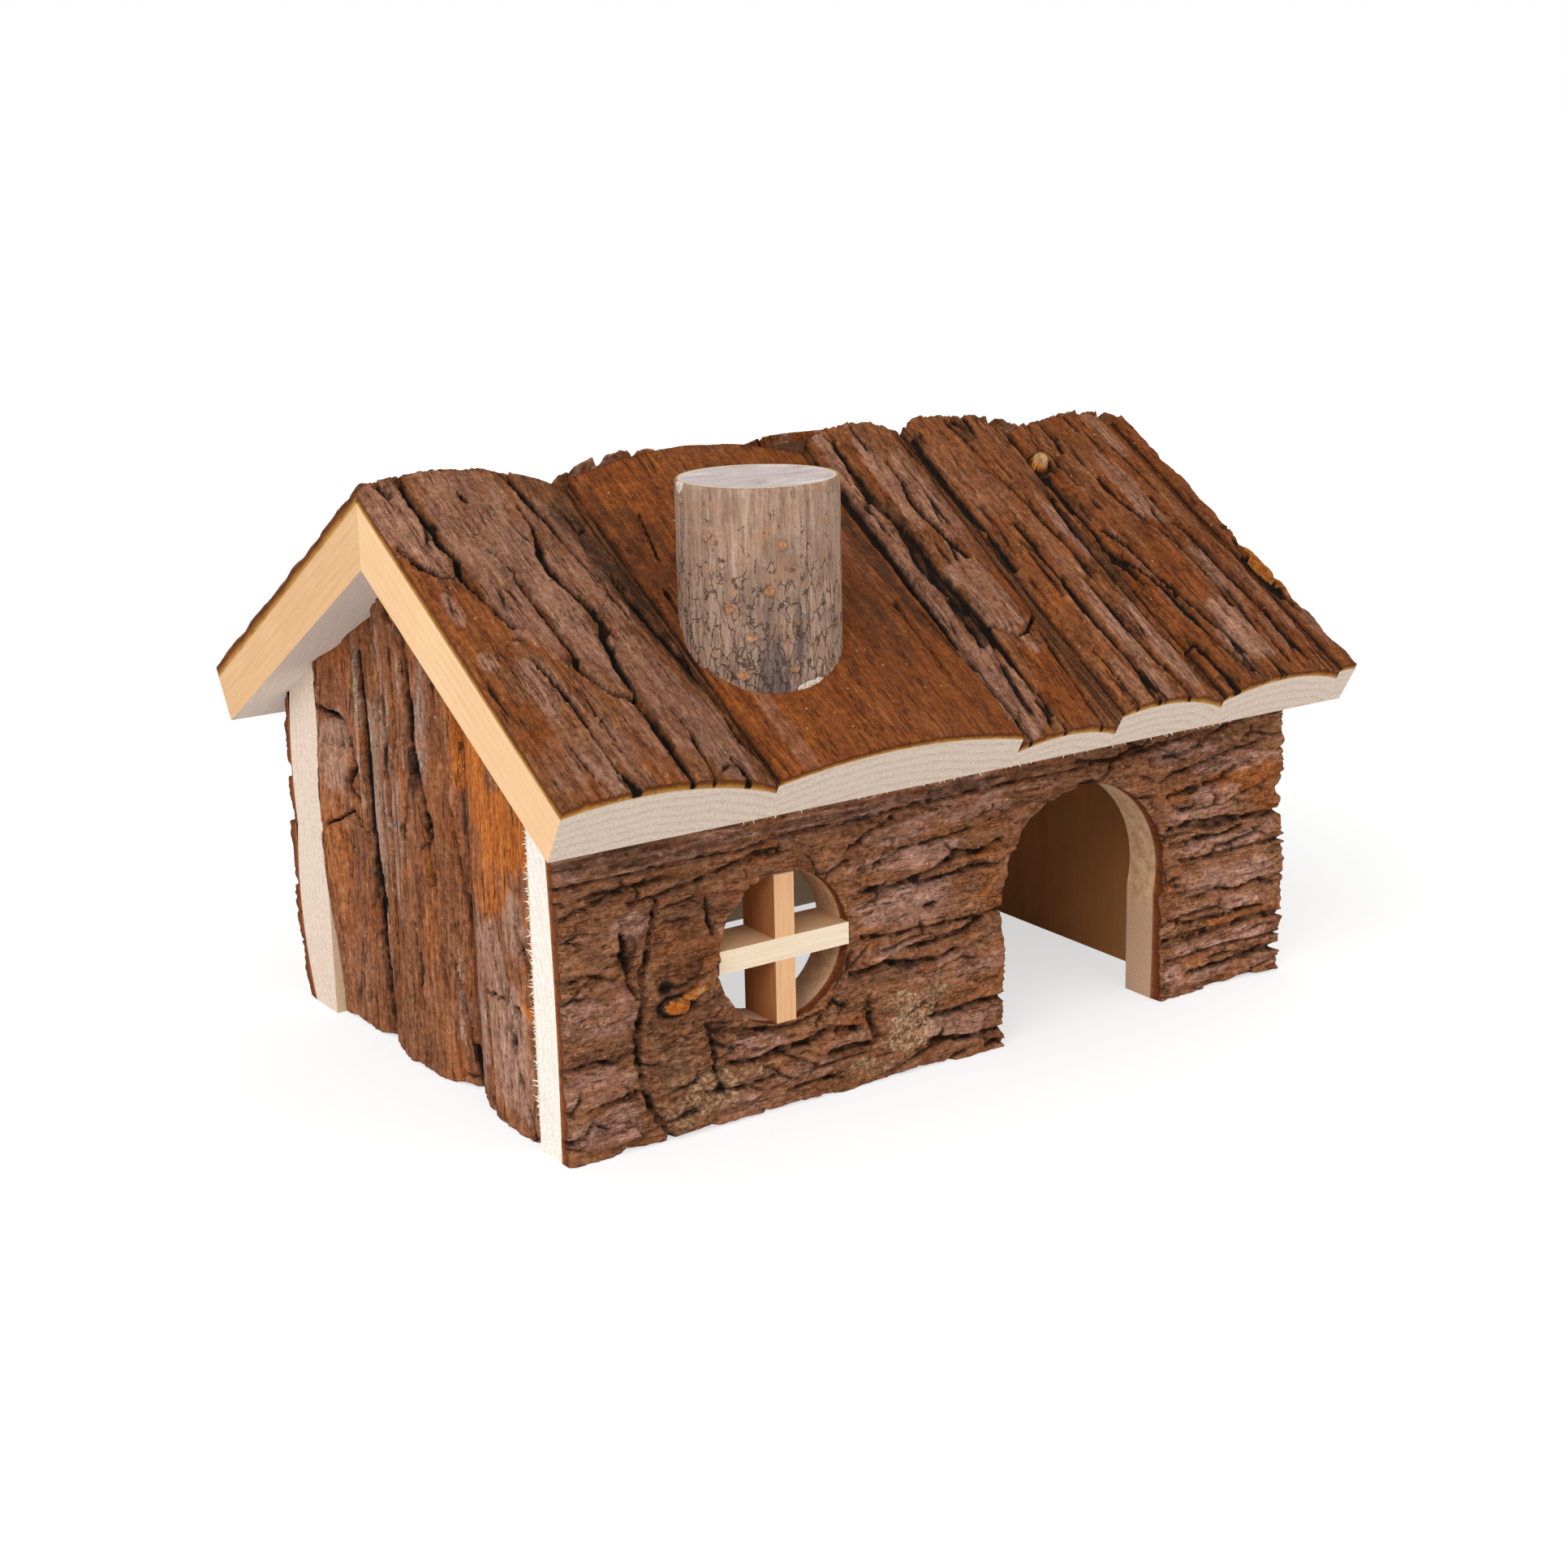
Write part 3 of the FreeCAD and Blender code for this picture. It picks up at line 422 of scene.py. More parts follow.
# Front wall: points are (x, z, width).
WALL_FISSURES = [
    [(-92, 55.8, 0.7), (-80, 56, 0.5), (-70, 56, 0.6), (-60, 56, 0.5), (-50, 56, 0.5), (-40, 57, 0.6),
     (-25, 57, 0.8), (-10, 57.5, 0.8), (5, 57.8, 0.6), (30, 58, 0.6), (50, 58.5, 0.6), (70, 60, 0.6)],
    [(-91, 50, 0.9), (-85, 51.5, 0.9), (-80, 52.5, 0.8), (-72, 54, 0.4)],
    [(-76, 50.2, 0.8), (-65, 51, 1), (-55, 52.5, 0.9), (-48, 54.5, 0.8), (-41, 55, 0.5)],
    [(-70, 49.5, 0.9), (-70.8, 45, 1.1), (-72.5, 39, 1.4), (-74, 35, 1.3), (-74.5, 30, 1.3),
     (-75, 24, 1.7), (-75, 18, 1.5), (-74, 12, 1.3), (-72, 7, 1.3), (-69, 2, 1.3), (-68, -1, 1)],
    [(-92, 37.5, 0.8), (-86, 38, 0.5), (-80, 36, 0.6)],
    [(-92, 19.5, 1.1), (-88, 20, 1.3), (-84, 19.8, 1.1), (-80, 19, 1), (-76, 20.5, 1.5)],
    [(-84, 11, 0.6), (-79, 11.5, 0.9), (-77, 11.6, 1.9), (-75, 12, 0.8)],
    [(-92, 5, 1.1), (-88, 5.5, 1.1), (-86, 8, 0.7), (-83, 6, 0.6)],
    [(-78, 45, 0.8), (-77.5, 40, 1.8), (-77, 36, 1.2), (-76, 32, 0.6)],
    [(-59, 48, 0.9), (-58, 44, 0.9), (-57.3, 40, 0.7)],
    [(-59, 22, 1.1), (-58, 16, 1.1), (-57, 10, 1), (-55, 6, 0.6)],
    [(-58, 20.5, 1), (-52, 19, 1.3), (-46, 17.6, 1), (-38, 17, 0.8), (-32, 18.5, 0.8)],
    [(-55, 13, 0.9), (-48, 12, 1.3), (-42, 12.5, 1.9), (-36, 13, 1.8), (-30, 14, 1.3), (-22, 12.5, 1.1)],
    [(-33, 16, 0.8), (-29, 20, 1), (-26, 18.5, 0.8)],
    [(-60, 8, 0.6), (-50, 6.8, 0.8), (-44, 8, 0.6)],
    [(-40, 3.2, 0.9), (-32, 4, 1), (-27, 3, 0.8)],
    [(-30, 9, 1.3), (-24, 9, 1.7), (-20, 9, 1.2)],
    [(-24, 51.5, 1.1), (-20, 54, 1), (-13, 56, 0.8)],
    [(-22, 46.5, 0.8), (-16, 47.5, 0.8), (-12, 48.7, 0.7), (0, 49.5, 0.6), (8, 50, 0.5)],
    [(-22, 42, 1.1), (-14, 41, 1.3), (-9, 42, 1.3), (-3, 43, 1.3), (3, 45.5, 1.5), (9, 44.5, 1.3),
     (15, 46, 1)],
    [(-10, 41, 0.8), (0, 40.8, 0.9), (8, 42, 1.3), (14, 41, 0.8)],
    [(-5, 35.5, 1), (-2.5, 35.9, 0.8)],
    [(-21, 32, 0.9), (-14, 31, 1.1), (-8, 31.5, 0.9), (0, 31.2, 0.8), (8, 31, 0.9), (16, 31.5, 0.9)],
    [(-10, 28, 1.1), (-5, 27.5, 1.3), (3, 28.5, 1.3), (9, 30.5, 1.2)],
    [(-25, 25, 1.2), (-15, 25.5, 1.6), (-8, 23.5, 1.9), (-3, 23.5, 1.3), (2, 25, 0.8)],
    [(-20, 19, 1.2), (-19, 13, 2.1), (-18, 9.5, 1.5)],
    [(-5, 11, 1.1), (2, 11.2, 1.3), (9, 11.3, 1.5), (16, 11.5, 1.3)],
    [(-4, 5.6, 1.7), (1, 5, 1.3), (8, 4.2, 1.3), (16, 4.2, 1.3)],
    [(9.5, 4, 0.8), (10, 2, 1.2), (16, 1.4, 1)],
    [(60, 51, 0.9), (66, 52, 0.9), (72, 53, 0.9), (82, 55, 1), (91, 55.5, 0.6)],
    [(56, 56.6, 1), (64, 56.2, 0.8), (72, 57.4, 0.7)],
    [(62, 47, 0.9), (68, 48, 1.1), (74, 48.5, 0.9), (80, 49, 0.5)],
    [(63.5, 45, 0.8), (66, 43.6, 0.9), (69, 43.4, 0.8)],
    [(61, 40, 0.9), (68, 40, 1.3), (74, 39, 2.3), (80, 38.5, 2.1), (88, 38.5, 1.3), (96, 38, 1.3)],
    [(62, 36, 0.9), (70, 36.5, 1.3), (76, 36, 0.8), (85, 36.5, 0.8)],
    [(66, 31.5, 0.8), (75, 31.5, 1), (85, 32, 0.8), (96, 32, 0.8)],
    [(70, 22, 0.8), (76, 23, 0.8), (82, 22, 0.6), (85, 22.5, 0.8), (89, 23.5, 0.8), (94, 21.5, 1.1)],
    [(65, 17.5, 1.3), (70, 16.5, 0.9), (80, 17, 0.9), (90, 17, 0.6)],
    [(61, 14, 1.3), (70, 13.6, 1.3), (78, 13.8, 1.7), (88, 14.5, 1.7), (96, 14, 1.3)],
    [(68, 5, 1.1), (75, 5, 1.3), (84, 5.5, 1.5), (89, 6.4, 2.2), (96, 5.5, 1.3)],
    [(61, 9, 0.7), (70, 9, 0.7), (84, 9.6, 0.8), (96, 9, 0.6)],
    [(62, 27, 0.8), (66, 26, 0.6)],
]
WALL_GREY = [
    (-60, 60, 40, 4.2, 0.55), (-84, 30, 9, 6, 0.8), (-84, 15, 9, 4, 0.8), (-82, 6, 9, 4, 0.7),
    (-76, 46, 5, 2.5, 0.9), (-48, 15, 8, 2.4, 0.8), (-10, 37, 14, 4.5, 0.95), (-8, 47, 14, 2.5, 0.9),
    (-12, 52.5, 9, 2.5, 0.8), (5, 54, 16, 2.2, 0.5), (-14, 28.5, 9, 1.6, 0.9), (2, 21, 14, 4, 0.45),
    (5, 8, 10, 2.8, 0.9), (-25, 11, 6, 1.5, 0.8), (-37, 7, 8, 3, 0.6), (-50, 3, 9, 2.5, 0.6),
    (66, 57, 10, 1.8, 0.9), (82, 52, 12, 2.2, 0.9), (72, 42, 12, 2.2, 0.9), (76, 46, 7, 2.4, 0.7),
    (78, 34, 14, 1.8, 0.7), (78, 26, 16, 3.4, 0.95), (78, 19.5, 14, 2, 0.9), (78, 11, 16, 2, 0.9),
    (74, 3.4, 8, 1.6, 0.9), (64, 5, 3, 3, 0.8), (90, 3, 5, 2, 0.5), (90, 35, 5, 2, 0.6),
]
WALL_WARM = [
    (-88, 50, 8, 4, 0.4), (-66, 38, 6, 8, 0.35), (-20, 36, 3, 12, 0.45), (12, 36, 4, 6, 0.5),
    (14, 20, 4, 6, 0.4), (84, 48, 12, 3.4, 0.9), (92, 44, 5, 6, 0.6), (64, 47, 5, 1.8, 0.6),
    (64, 27, 4, 3, 0.5), (84, 15.8, 14, 1, 0.6), (12, 44, 6, 2, 0.7), (-60, 54, 24, 1.2, 0.35),
    (-24, 14, 4, 2, 0.6),
]
# Dark patches: partly stains, partly painted shade round the twig stub and along cracks.
WALL_DARK = [
    (-66, 34.5, 6.5, 3.5, 0.6), (-70, 26, 3.5, 4, 0.55), (-62, 25, 4, 3, 0.5), (-70, 58, 22, 1, 0.6),
    (-76, 59.5, 18, 2.4, 0.5), (-78, 60.5, 14, 0.8, 0.5), (-34, 59, 20, 0.9, 0.6),
    (6, 59.5, 22, 1.2, 0.7), (-77, 41, 2.5, 4.5, 0.65), (-66, 31, 5, 2.5, 0.5), (-62, 27, 5, 4, 0.35),
    (-16, 24, 10, 2, 0.5), (-60, 44, 6, 5, 0.3), (76, 38.8, 8, 1.2, 0.5), (-68, 20, 6, 8, 0.25),
    (60, 60, 40, 1.6, 0.3),
]
WALL_DUST = [
    (-9, 10, 7, 6.5, 1), (-12, 16, 4, 3, 0.8), (-4, 17, 4, 3, 0.8), (-58, 8, 7, 5, 0.75),
    (-66, 4, 5, 4, 0.5), (-50, 9, 6, 3, 0.4), (-22, 5, 4, 1.5, 0.7), (-16, 3, 6, 2, 0.5),
    (-66, 14, 5, 5, 0.3),
]

# Left gable: points are (z, distance ahead of the ridge, width).
GABLE_FISSURES = [
    [(86, -30, 2), (78, -29.5, 2.4), (68, -29, 3), (58, -28.5, 3.2), (48, -28.5, 3.4), (40, -28, 3.4),
     (32, -27, 3.2), (24, -27, 2.2), (14, -26, 1.5), (4, -25.5, 1.2), (-1, -25.5, 1)],
    [(96, -22.5, 2.2), (88, -20.5, 3), (80, -20, 2.4), (74, -19.5, 1.4)],
    [(78, -16.8, 1.6), (68, -15.5, 3), (60, -15, 2.8), (50, -15, 2.8), (42, -14.5, 2.2), (34, -16, 1.9),
     (26, -16.5, 2.2), (16, -17, 1.4), (5, -17.5, 1)],
    [(95, -4.5, 2.2), (86, -3, 3.4), (78, -2.5, 3.2), (72, -3, 2.8), (68, -1.5, 2.6), (60, 0.5, 2.4),
     (54, 1.5, 2.4), (48, 2, 1.6), (43, 3, 1.2)],
    [(90, -9.5, 1), (80, -9.5, 1.4), (72, -9, 1)],
    [(74, -12, 0.6), (60, -11, 0.9), (46, -10.5, 0.8), (36, -11, 0.5)],
    [(32, -6, 0.6), (24, -5, 1), (14, -3, 0.8)],
    [(97.5, -12, 2), (96, -8, 1.6)],
    [(55, 17, 0.9), (48, 18, 0.9), (42, 20, 0.9), (33, 22.5, 1.3), (26, 25, 1), (18, 26.5, 0.9),
     (10, 27.5, 0.8), (2, 25.5, 1.1)],
    [(43, 28, 0.8), (35, 31, 1), (27, 34, 0.9), (19, 37, 0.8), (10, 40, 1), (1, 43.5, 1.3)],
    [(26, 25, 0.6), (27.5, 30, 0.6), (27, 35, 0.5)],
    [(43, 41, 1.2), (37, 43.5, 1.5), (34, 45, 0.9)],
    [(26.5, 39, 1.8), (26.5, 40.5, 1.6)],
    [(28, 7, 0.6), (22, 9, 0.6), (12, 11, 0.9), (3, 12.3, 0.9)],
    [(80, -47, 0.6), (72, -46.5, 0.9), (70.5, -42, 1.3), (68.5, -38, 1.5), (64, -35, 2.1), (60, -34, 1.6),
     (55, -37, 1.6), (53, -33, 1.3)],
    [(60, -47, 0.6), (50, -47, 0.5)],
    [(45, -45, 0.3), (48, -40, 0.4), (50, -35, 0.5), (46, -31, 0.8)],
    [(70, -0.5, 0.5), (60, -6, 0.5), (50, -8, 0.4)],
    [(90, -10.5, 0.6), (82, -10, 0.5), (70, -9, 0.4)],
    [(20, -36, 0.5), (10, -37, 0.6), (2, -36.5, 0.5)],
    [(60, 9, 0.5), (50, 10, 0.6), (38, 12, 0.7), (30, 14, 0.7), (20, 14.5, 0.5)],
]
GABLE_GREY = [
    (70, -31.8, 16, 0.9, 1), (60, -26.2, 20, 0.8, 1), (76, 0.6, 12, 0.7, 0.9), (34, 28, 9, 3.5, 1),
    (12, 34, 9, 4, 1), (60, -24.5, 36, 1.8, 0.9), (82, -17.6, 14, 1.6, 1), (62, -41, 9, 4.5, 0.9),
    (46, -26, 14, 1.4, 0.9), (50, -11.8, 22, 1, 0.7), (78, 2, 14, 1.6, 0.8), (22, 20, 22, 5, 0.8),
    (26, 31, 20, 5, 0.95), (16, 39, 16, 5, 0.9), (44, 40, 8, 4, 0.7), (12, -36, 12, 5, 0.25),
]
GABLE_WARM = [
    (74, 22, 16, 10, 1), (62, 36, 9, 12, 0.95), (52, 28, 12, 12, 0.6), (78, 12, 14, 3, 0.7),
    (26.5, 43, 2, 2.5, 0.9), (40, -43, 18, 5, 0.3), (84, -38, 8, 6, 0.4),
]
# Pale weathered edges beside the furrows.
GABLE_PALE = [
    (72, -31.6, 22, 0.8, 1), (58, -26.6, 26, 0.9, 1), (74, -24.3, 22, 1, 1), (84, -17.9, 12, 0.8, 0.9),
    (56, -17.3, 22, 0.8, 0.9), (64, -12.9, 22, 0.7, 0.9), (80, -5.8, 14, 0.8, 0.9), (76, 0.8, 16, 0.9, 1),
    (60, -9.2, 20, 0.6, 0.8), (36, 18.8, 16, 0.6, 0.9), (20, 9.2, 14, 0.6, 0.7),
    (30, -24.4, 20, 0.7, 0.8),
]
# Where the left gable's bark lies smooth.
GABLE_CALM = [(76, 24, 18, 14, 0.8), (60, 38, 12, 12, 0.8)]
# Dark patches, most of them painted shade along the furrows.
GABLE_DARK = [
    (62, -29, 28, 1.1, 0.95), (76, -3, 20, 1.5, 0.9), (86, -20, 10, 1.2, 0.9), (58, -15, 24, 1.1, 0.85),
    (56, -37, 4, 3, 0.4), (41, -49, 2.5, 2.5, 0.8),
]

# Chimney knots: degrees round from +X, z, half width, half height, and how fresh the wood in each is. A
# negative one is a pale ring.
CHIMNEY_KNOTS = [(-157, 117.3, 1.4, 1.2, -0.8), (-107, 115.7, 0.9, 1, 0.7), (-117, 107, 1, 1, 1),
                 (-144, 103.5, 1.1, 0.8, 0.9), (-129, 98.1, 1.3, 0.9, 0.7), (-135, 90.7, 1.4, 0.9, 0.95),
                 (-100, 91.4, 1.1, 0.8, 0.8), (-97, 100.4, 0.9, 0.5, 0.6), (-76, 101.9, 0.8, 0.8, 0.2),
                 (173, 123.8, 0.8, 1.1, 0.6), (-68, 119.1, 0.5, 0.9, 0.7), (20, 112, 1.1, 1, 0.5),
                 (70, 116, 0.9, 0.9, 0.6), (115, 103, 1.2, 0.9, 0.5), (150, 95, 1.1, 0.9, 0.7)]


# ---------------------------------------------------------------- meshes

def box_of(name):
    """Least and greatest corner of a node."""
    return np.array(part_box(name)) / MM


def tree_of(name):
    mesh = NODES[name].data
    mesh.calc_loop_triangles()
    triangles = [tuple(t.vertices) for t in mesh.loop_triangles]
    return BVHTree.FromPolygons([v.co for v in mesh.vertices], triangles)


def reach(tree, points, direction, far):
    """How far out of each point the node's face is. The rays come from far out, against the direction."""
    toward = Vector(-direction)
    found = []
    for p in points:
        start = Vector((p + far * direction) * MM)
        hit = tree.ray_cast(start, toward)
        found.append(far - hit[3] / MM if hit[0] is not None else np.nan)
    found = np.array(found)
    missed = np.isnan(found)
    index = np.arange(len(found))
    return np.where(missed, np.interp(index, index[~missed], found[~missed]), found)


def crest(place, height):
    """Height of a log's round face without its furrows: the least curve that nowhere dips."""
    keep = []
    for i in range(len(place)):
        while len(keep) > 1:
            rise = (height[keep[-1]] - height[keep[-2]]) * (place[i] - place[keep[-2]])
            if rise > (height[i] - height[keep[-2]]) * (place[keep[-1]] - place[keep[-2]]):
                break
            keep.pop()
        keep.append(i)
    return np.interp(place, place[keep], height[keep])


def furrow_middles(place, height):
    """Where a log's face lies in a furrow."""
    low = crest(place, height) - height > 0.4
    starts = np.flatnonzero(low & ~np.roll(low, 1))
    return [place[i:][: np.argmin(np.append(low[i:], False))].mean() for i in starts]


def round_face(node, places, probes, spot, out, stations, far):
    """A node's round face across the log, without its furrows, and the furrows' middles, at two stations.

    Spot gives a point from a probe, which is a place across the log, and a station along it.
    """
    tree = tree_of(node)
    ends = [reach(tree, [spot(probe, station) for probe in probes], out, far) for station in stations]
    return [crest(places, end) for end in ends], [furrow_middles(places, end) for end in ends]


def furrow_lines(stations, middles, reach_past, seed):
    """Wandering cracks along the furrows, whose middles are known at two stations along the log."""
    lines = []
    first, last = stations
    for number, (start, stop) in enumerate(zip(*middles)):
        a = np.linspace(first - reach_past, last + reach_past, 24)
        c = start + (stop - start) * (a - first) / (last - first)
        own = np.full(24, number + 0.5)
        c = c + 1.1 * noise(a / 13, own, seed)
        width = np.maximum(0.3, 1.4 + 1.7 * noise(a / 19, own, seed + 1))
        lines.append(np.stack([a, c, width], -1))
    return lines


def grid_faces(rows, columns):
    i = np.arange(rows * columns).reshape(rows, columns)
    return np.stack([i[:-1, :-1], i[:-1, 1:], i[1:, 1:], i[1:, :-1]], -1).reshape(-1, 4)


def free_edges(faces):
    """Edges that only one face uses, in the direction that the face goes round them."""
    edges = np.concatenate([faces[:, [k, (k + 1) % 4]] for k in range(4)])
    edges = edges[edges[:, 0] != edges[:, 1]]
    keys = np.sort(edges, axis=1)
    order = np.lexsort((keys[:, 1], keys[:, 0]))
    in_order = keys[order]
    same_next = np.concatenate([(in_order[1:] == in_order[:-1]).all(1), [False]])
    same_last = np.concatenate([[False], same_next[:-1]])
    return edges[order[~(same_next | same_last)]]


def add_object(name, vertices, faces, material):
    """An object from vertices in millimetres."""
    mesh = bpy.data.meshes.new(name)
    mesh.from_pydata((np.asarray(vertices) * MM).tolist(), [], faces)
    mesh.materials.append(material)
    o = bpy.data.objects.new(name, mesh)
    bpy.context.scene.collection.objects.link(o)
    return o


def rind(name, outer, inner, faces, bark, material, rows=5, flip=False, sawn=True):
    """The bark of a piece: its outer surface, and a section from every free edge down to the wood.

    Outer and inner are grids of points. Sawn says at which points the section is a clean cut, which shows
    the bark's layers. Elsewhere it is torn and dark.
    """
    shape = outer.shape[:2]
    used = np.unique(faces)
    renumber = np.full(shape[0] * shape[1], -1)
    renumber[used] = np.arange(len(used))
    faces = renumber[faces]
    outer, inner = outer.reshape(-1, 3)[used], inner.reshape(-1, 3)[used]
    marks = {key: np.broadcast_to(getattr(bark, key), shape).ravel()[used]
             for keys in MARKS.values() for key in keys if key != "section"}
    edges = free_edges(faces)
    rim = np.unique(edges)
    sawn = np.broadcast_to(sawn, shape).ravel()[used][rim]
    place = np.full(len(outer), -1)
    place[rim] = np.arange(len(rim))
    first, second = place[edges[:, 0]], place[edges[:, 1]]
    vertices, section, walls = [outer], [np.zeros(len(outer))], []
    last_row = rim
    for k in range(1, rows + 1):
        t = k / rows
        row = outer[rim] * (1 - t) + inner[rim] * t
        if k < rows:
            rough = 0.12 * noise(row.sum(1) * 1.3 + 7 * k, row[:, 2] * 2.1 + 3 * k, 91 + k)
            row = row + rough[:, None] * np.array([0.6, 0.6, 0.3])
        this_row = len(outer) + (k - 1) * len(rim) + np.arange(len(rim))
        walls.append(np.stack([last_row[second], last_row[first], this_row[first], this_row[second]], -1))
        vertices.append(row)
        section.append(np.where(sawn, t, 0.0))
        last_row = this_row
    side = np.concatenate(vertices[1:])
    marks = {key: np.concatenate([value] + [value[rim]] * rows) for key, value in marks.items()}
    torn = 0.30 + 0.45 * fbm(side.sum(1) / 2.4, side[:, 2] / 1.1 + side[:, 0] / 1.7, 3, 92)
    marks["crack"][len(outer):] = np.where(np.tile(sawn, rows), 0.5 * marks["crack"][len(outer):], torn)
    marks["section"] = np.concatenate(section)
    faces = np.concatenate([faces] + walls)[:, ::-1 if flip else 1]
    # Where two corners of a face are one point, the face is a triangle.
    polygons = [list(dict.fromkeys(face)) for face in faces.tolist()]
    polygons = [polygon for polygon in polygons if len(polygon) > 2]
    o = add_object(f"{name}_rind", np.concatenate(vertices), polygons, material)
    for layer, keys in MARKS.items():
        packed = np.stack([marks[key] for key in keys], -1)
        attribute = o.data.attributes.new(layer, "FLOAT_COLOR", "POINT")
        attribute.data.foreach_set("color", np.clip(packed, 0, 1).astype(np.float32).ravel())
    o.data.shade_smooth()
    o.data.validate()
    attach(o, "root")
    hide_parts(f"{name}_bark")


# ---------------------------------------------------------------- materials

class Value:
    """A number, vector or colour that a material works out at each point. Arithmetic on it adds nodes."""

    def __init__(self, material, socket):
        self.material = material
        self.socket = socket

    def output(self, name):
        """Another output of the same node."""
        return Value(self.material, self.socket.node.outputs[name])

    def __add__(self, other):
        return self.material.math("ADD", self, other)

    def __sub__(self, other):
        return self.material.math("SUBTRACT", self, other)

    def __rsub__(self, other):
        return self.material.math("SUBTRACT", other, self)

    def __mul__(self, other):
        return self.material.math("MULTIPLY", self, other)

    def __lt__(self, other):
        return self.material.math("LESS_THAN", self, other)

    def __gt__(self, other):
        return self.material.math("GREATER_THAN", self, other)

    def __abs__(self):
        return self.material.math("ABSOLUTE", self)


class Material:
    """A material with one Principled shader, and short ways to add nodes to it."""

    def __init__(self, name, roughness, specular):
        self.data = bpy.data.materials.new(name)
        self.data.use_nodes = True
        self.tree = self.data.node_tree
        self.shader = self.tree.nodes["Principled BSDF"]
        self.shader.inputs["Roughness"].default_value = roughness
        self.shader.inputs["Specular IOR Level"].default_value = specular

    def put(self, socket, value):
        if isinstance(value, Value):
            self.tree.links.new(value.socket, socket)
        else:
            socket.default_value = value

    def add(self, kind, inputs=None, output=0, **settings):
        """One output of a new node."""
        node = self.tree.nodes.new(kind)
        for key, value in settings.items():
            setattr(node, key, value)
        for key, value in (inputs or {}).items():
            self.put(node.inputs[key], value)
        return Value(self, node.outputs[output])

    def math(self, operation, a, b=0.0):
        return self.add("ShaderNodeMath", {0: a, 1: b}, operation=operation)

    def vector_math(self, operation, a, b):
        second = "Scale" if operation == "SCALE" else 1
        return self.add("ShaderNodeVectorMath", {0: a, second: b}, operation=operation)

    def axis(self, vector, number):
        return self.add("ShaderNodeSeparateXYZ", {0: vector}, number)

    def step(self, value, low, high):
        """From 0 at low to 1 at high in a soft S."""
        return self.add("ShaderNodeMapRange", {"Value": value, "From Min": low, "From Max": high}, "Result",
                        interpolation_type="SMOOTHSTEP")

    def mix(self, factor, a, b, blend="MIX"):
        return self.add("ShaderNodeMix", {0: factor, 6: a, 7: b if isinstance(b, Value) else linear(b)}, 2,
                        data_type="RGBA", blend_type=blend)

    def ramp(self, value, places, colours):
        node = self.tree.nodes.new("ShaderNodeValToRGB")
        self.put(node.inputs["Fac"], value)
        while len(node.color_ramp.elements) < len(places):
            node.color_ramp.elements.new(0.5)
        for element, place, colour in zip(node.color_ramp.elements, places, colours):
            element.position = place
            element.color = linear(colour)
        return Value(self, node.outputs["Color"])

    def noise(self, vector, scale, detail, roughness, distortion=0.0, output="Fac"):
        return self.add("ShaderNodeTexNoise", {"Vector": vector, "Scale": scale, "Detail": detail,
                                               "Roughness": roughness, "Distortion": distortion}, output)

    def place(self, origin=(0, 0, 0), rotation=(0, 0, 0), scale=None):
        """Object coordinates in mm, moved to an origin, turned and then stretched."""
        mm = self.vector_math("SCALE", self.add("ShaderNodeTexCoord", output="Object"), 1 / MM)
        moved = self.vector_math("SUBTRACT", mm, origin)
        turned = self.add("ShaderNodeMapping", {"Vector": moved, "Rotation": rotation})
        return self.vector_math("MULTIPLY", turned, scale) if scale else turned

    def marks(self, layer):
        """The four marks that a rind keeps in a layer."""
        colour = self.add("ShaderNodeAttribute", attribute_name=layer, attribute_type="GEOMETRY")
        red = self.add("ShaderNodeSeparateColor", {"Color": colour})
        return red, red.output("Green"), red.output("Blue"), colour.output("Alpha")

    def finish(self, colour, relief, strength, distance):
        """Colour the shader and give it a fine relief."""
        self.put(self.shader.inputs["Base Color"], colour)
        bump = self.add("ShaderNodeBump", {"Strength": strength, "Distance": distance, "Height": relief})
        self.put(self.shader.inputs["Normal"], bump)
        return self.data


def linear(colour):
    """A screen colour from 0 to 255 as the linear colour that Blender reckons with."""
    parts = [value / 255 for value in colour]
    return *(v / 12.92 if v <= 0.04045 else ((v + 0.055) / 1.055) ** 2.4 for v in parts), 1.0


def shifted(colour, *change):
    return tuple(min(value + step, 255) for value, step in zip(colour, change))


def scaled(colour, *factors):
    return tuple(int(value * factor) for value, factor in zip(colour, factors))


# Colours of bark from its hollows to its crests: brown, weathered grey, orange inner bark. Then a sawn
# section from the outside in, the near-black painted shade in deep cracks, and the colours of dry fibres and
# dust.
ROOF_TONES = dict(
    brown=((58, 30, 14), (100, 60, 34), (132, 84, 52), (172, 120, 82)),
    grey=((76, 46, 33), (122, 82, 62), (156, 112, 88), (196, 154, 128)),
    orange=((68, 30, 8), (106, 54, 20), (136, 74, 30), (172, 106, 54)),
    section=((66, 36, 20), (106, 54, 22), (142, 82, 30), (182, 126, 54), (208, 162, 96)),
    shaded_hollow=(24, 14, 8), dry=(188, 150, 122), dust=((156, 108, 74), (220, 176, 136)))
WALL_TONES = dict(
    brown=((60, 34, 20), (106, 68, 44), (140, 96, 68), (182, 136, 106)),
    grey=((84, 54, 40), (128, 90, 72), (164, 122, 104), (200, 162, 148)),
    orange=((76, 36, 12), (118, 64, 28), (150, 90, 46), (186, 124, 74)),
    section=((84, 42, 22), (116, 58, 30), (132, 68, 34), (144, 80, 42), (176, 124, 76)),
    shaded_hollow=(30, 18, 12), dry=(206, 170, 156), dust=((172, 124, 86), (234, 194, 154)))
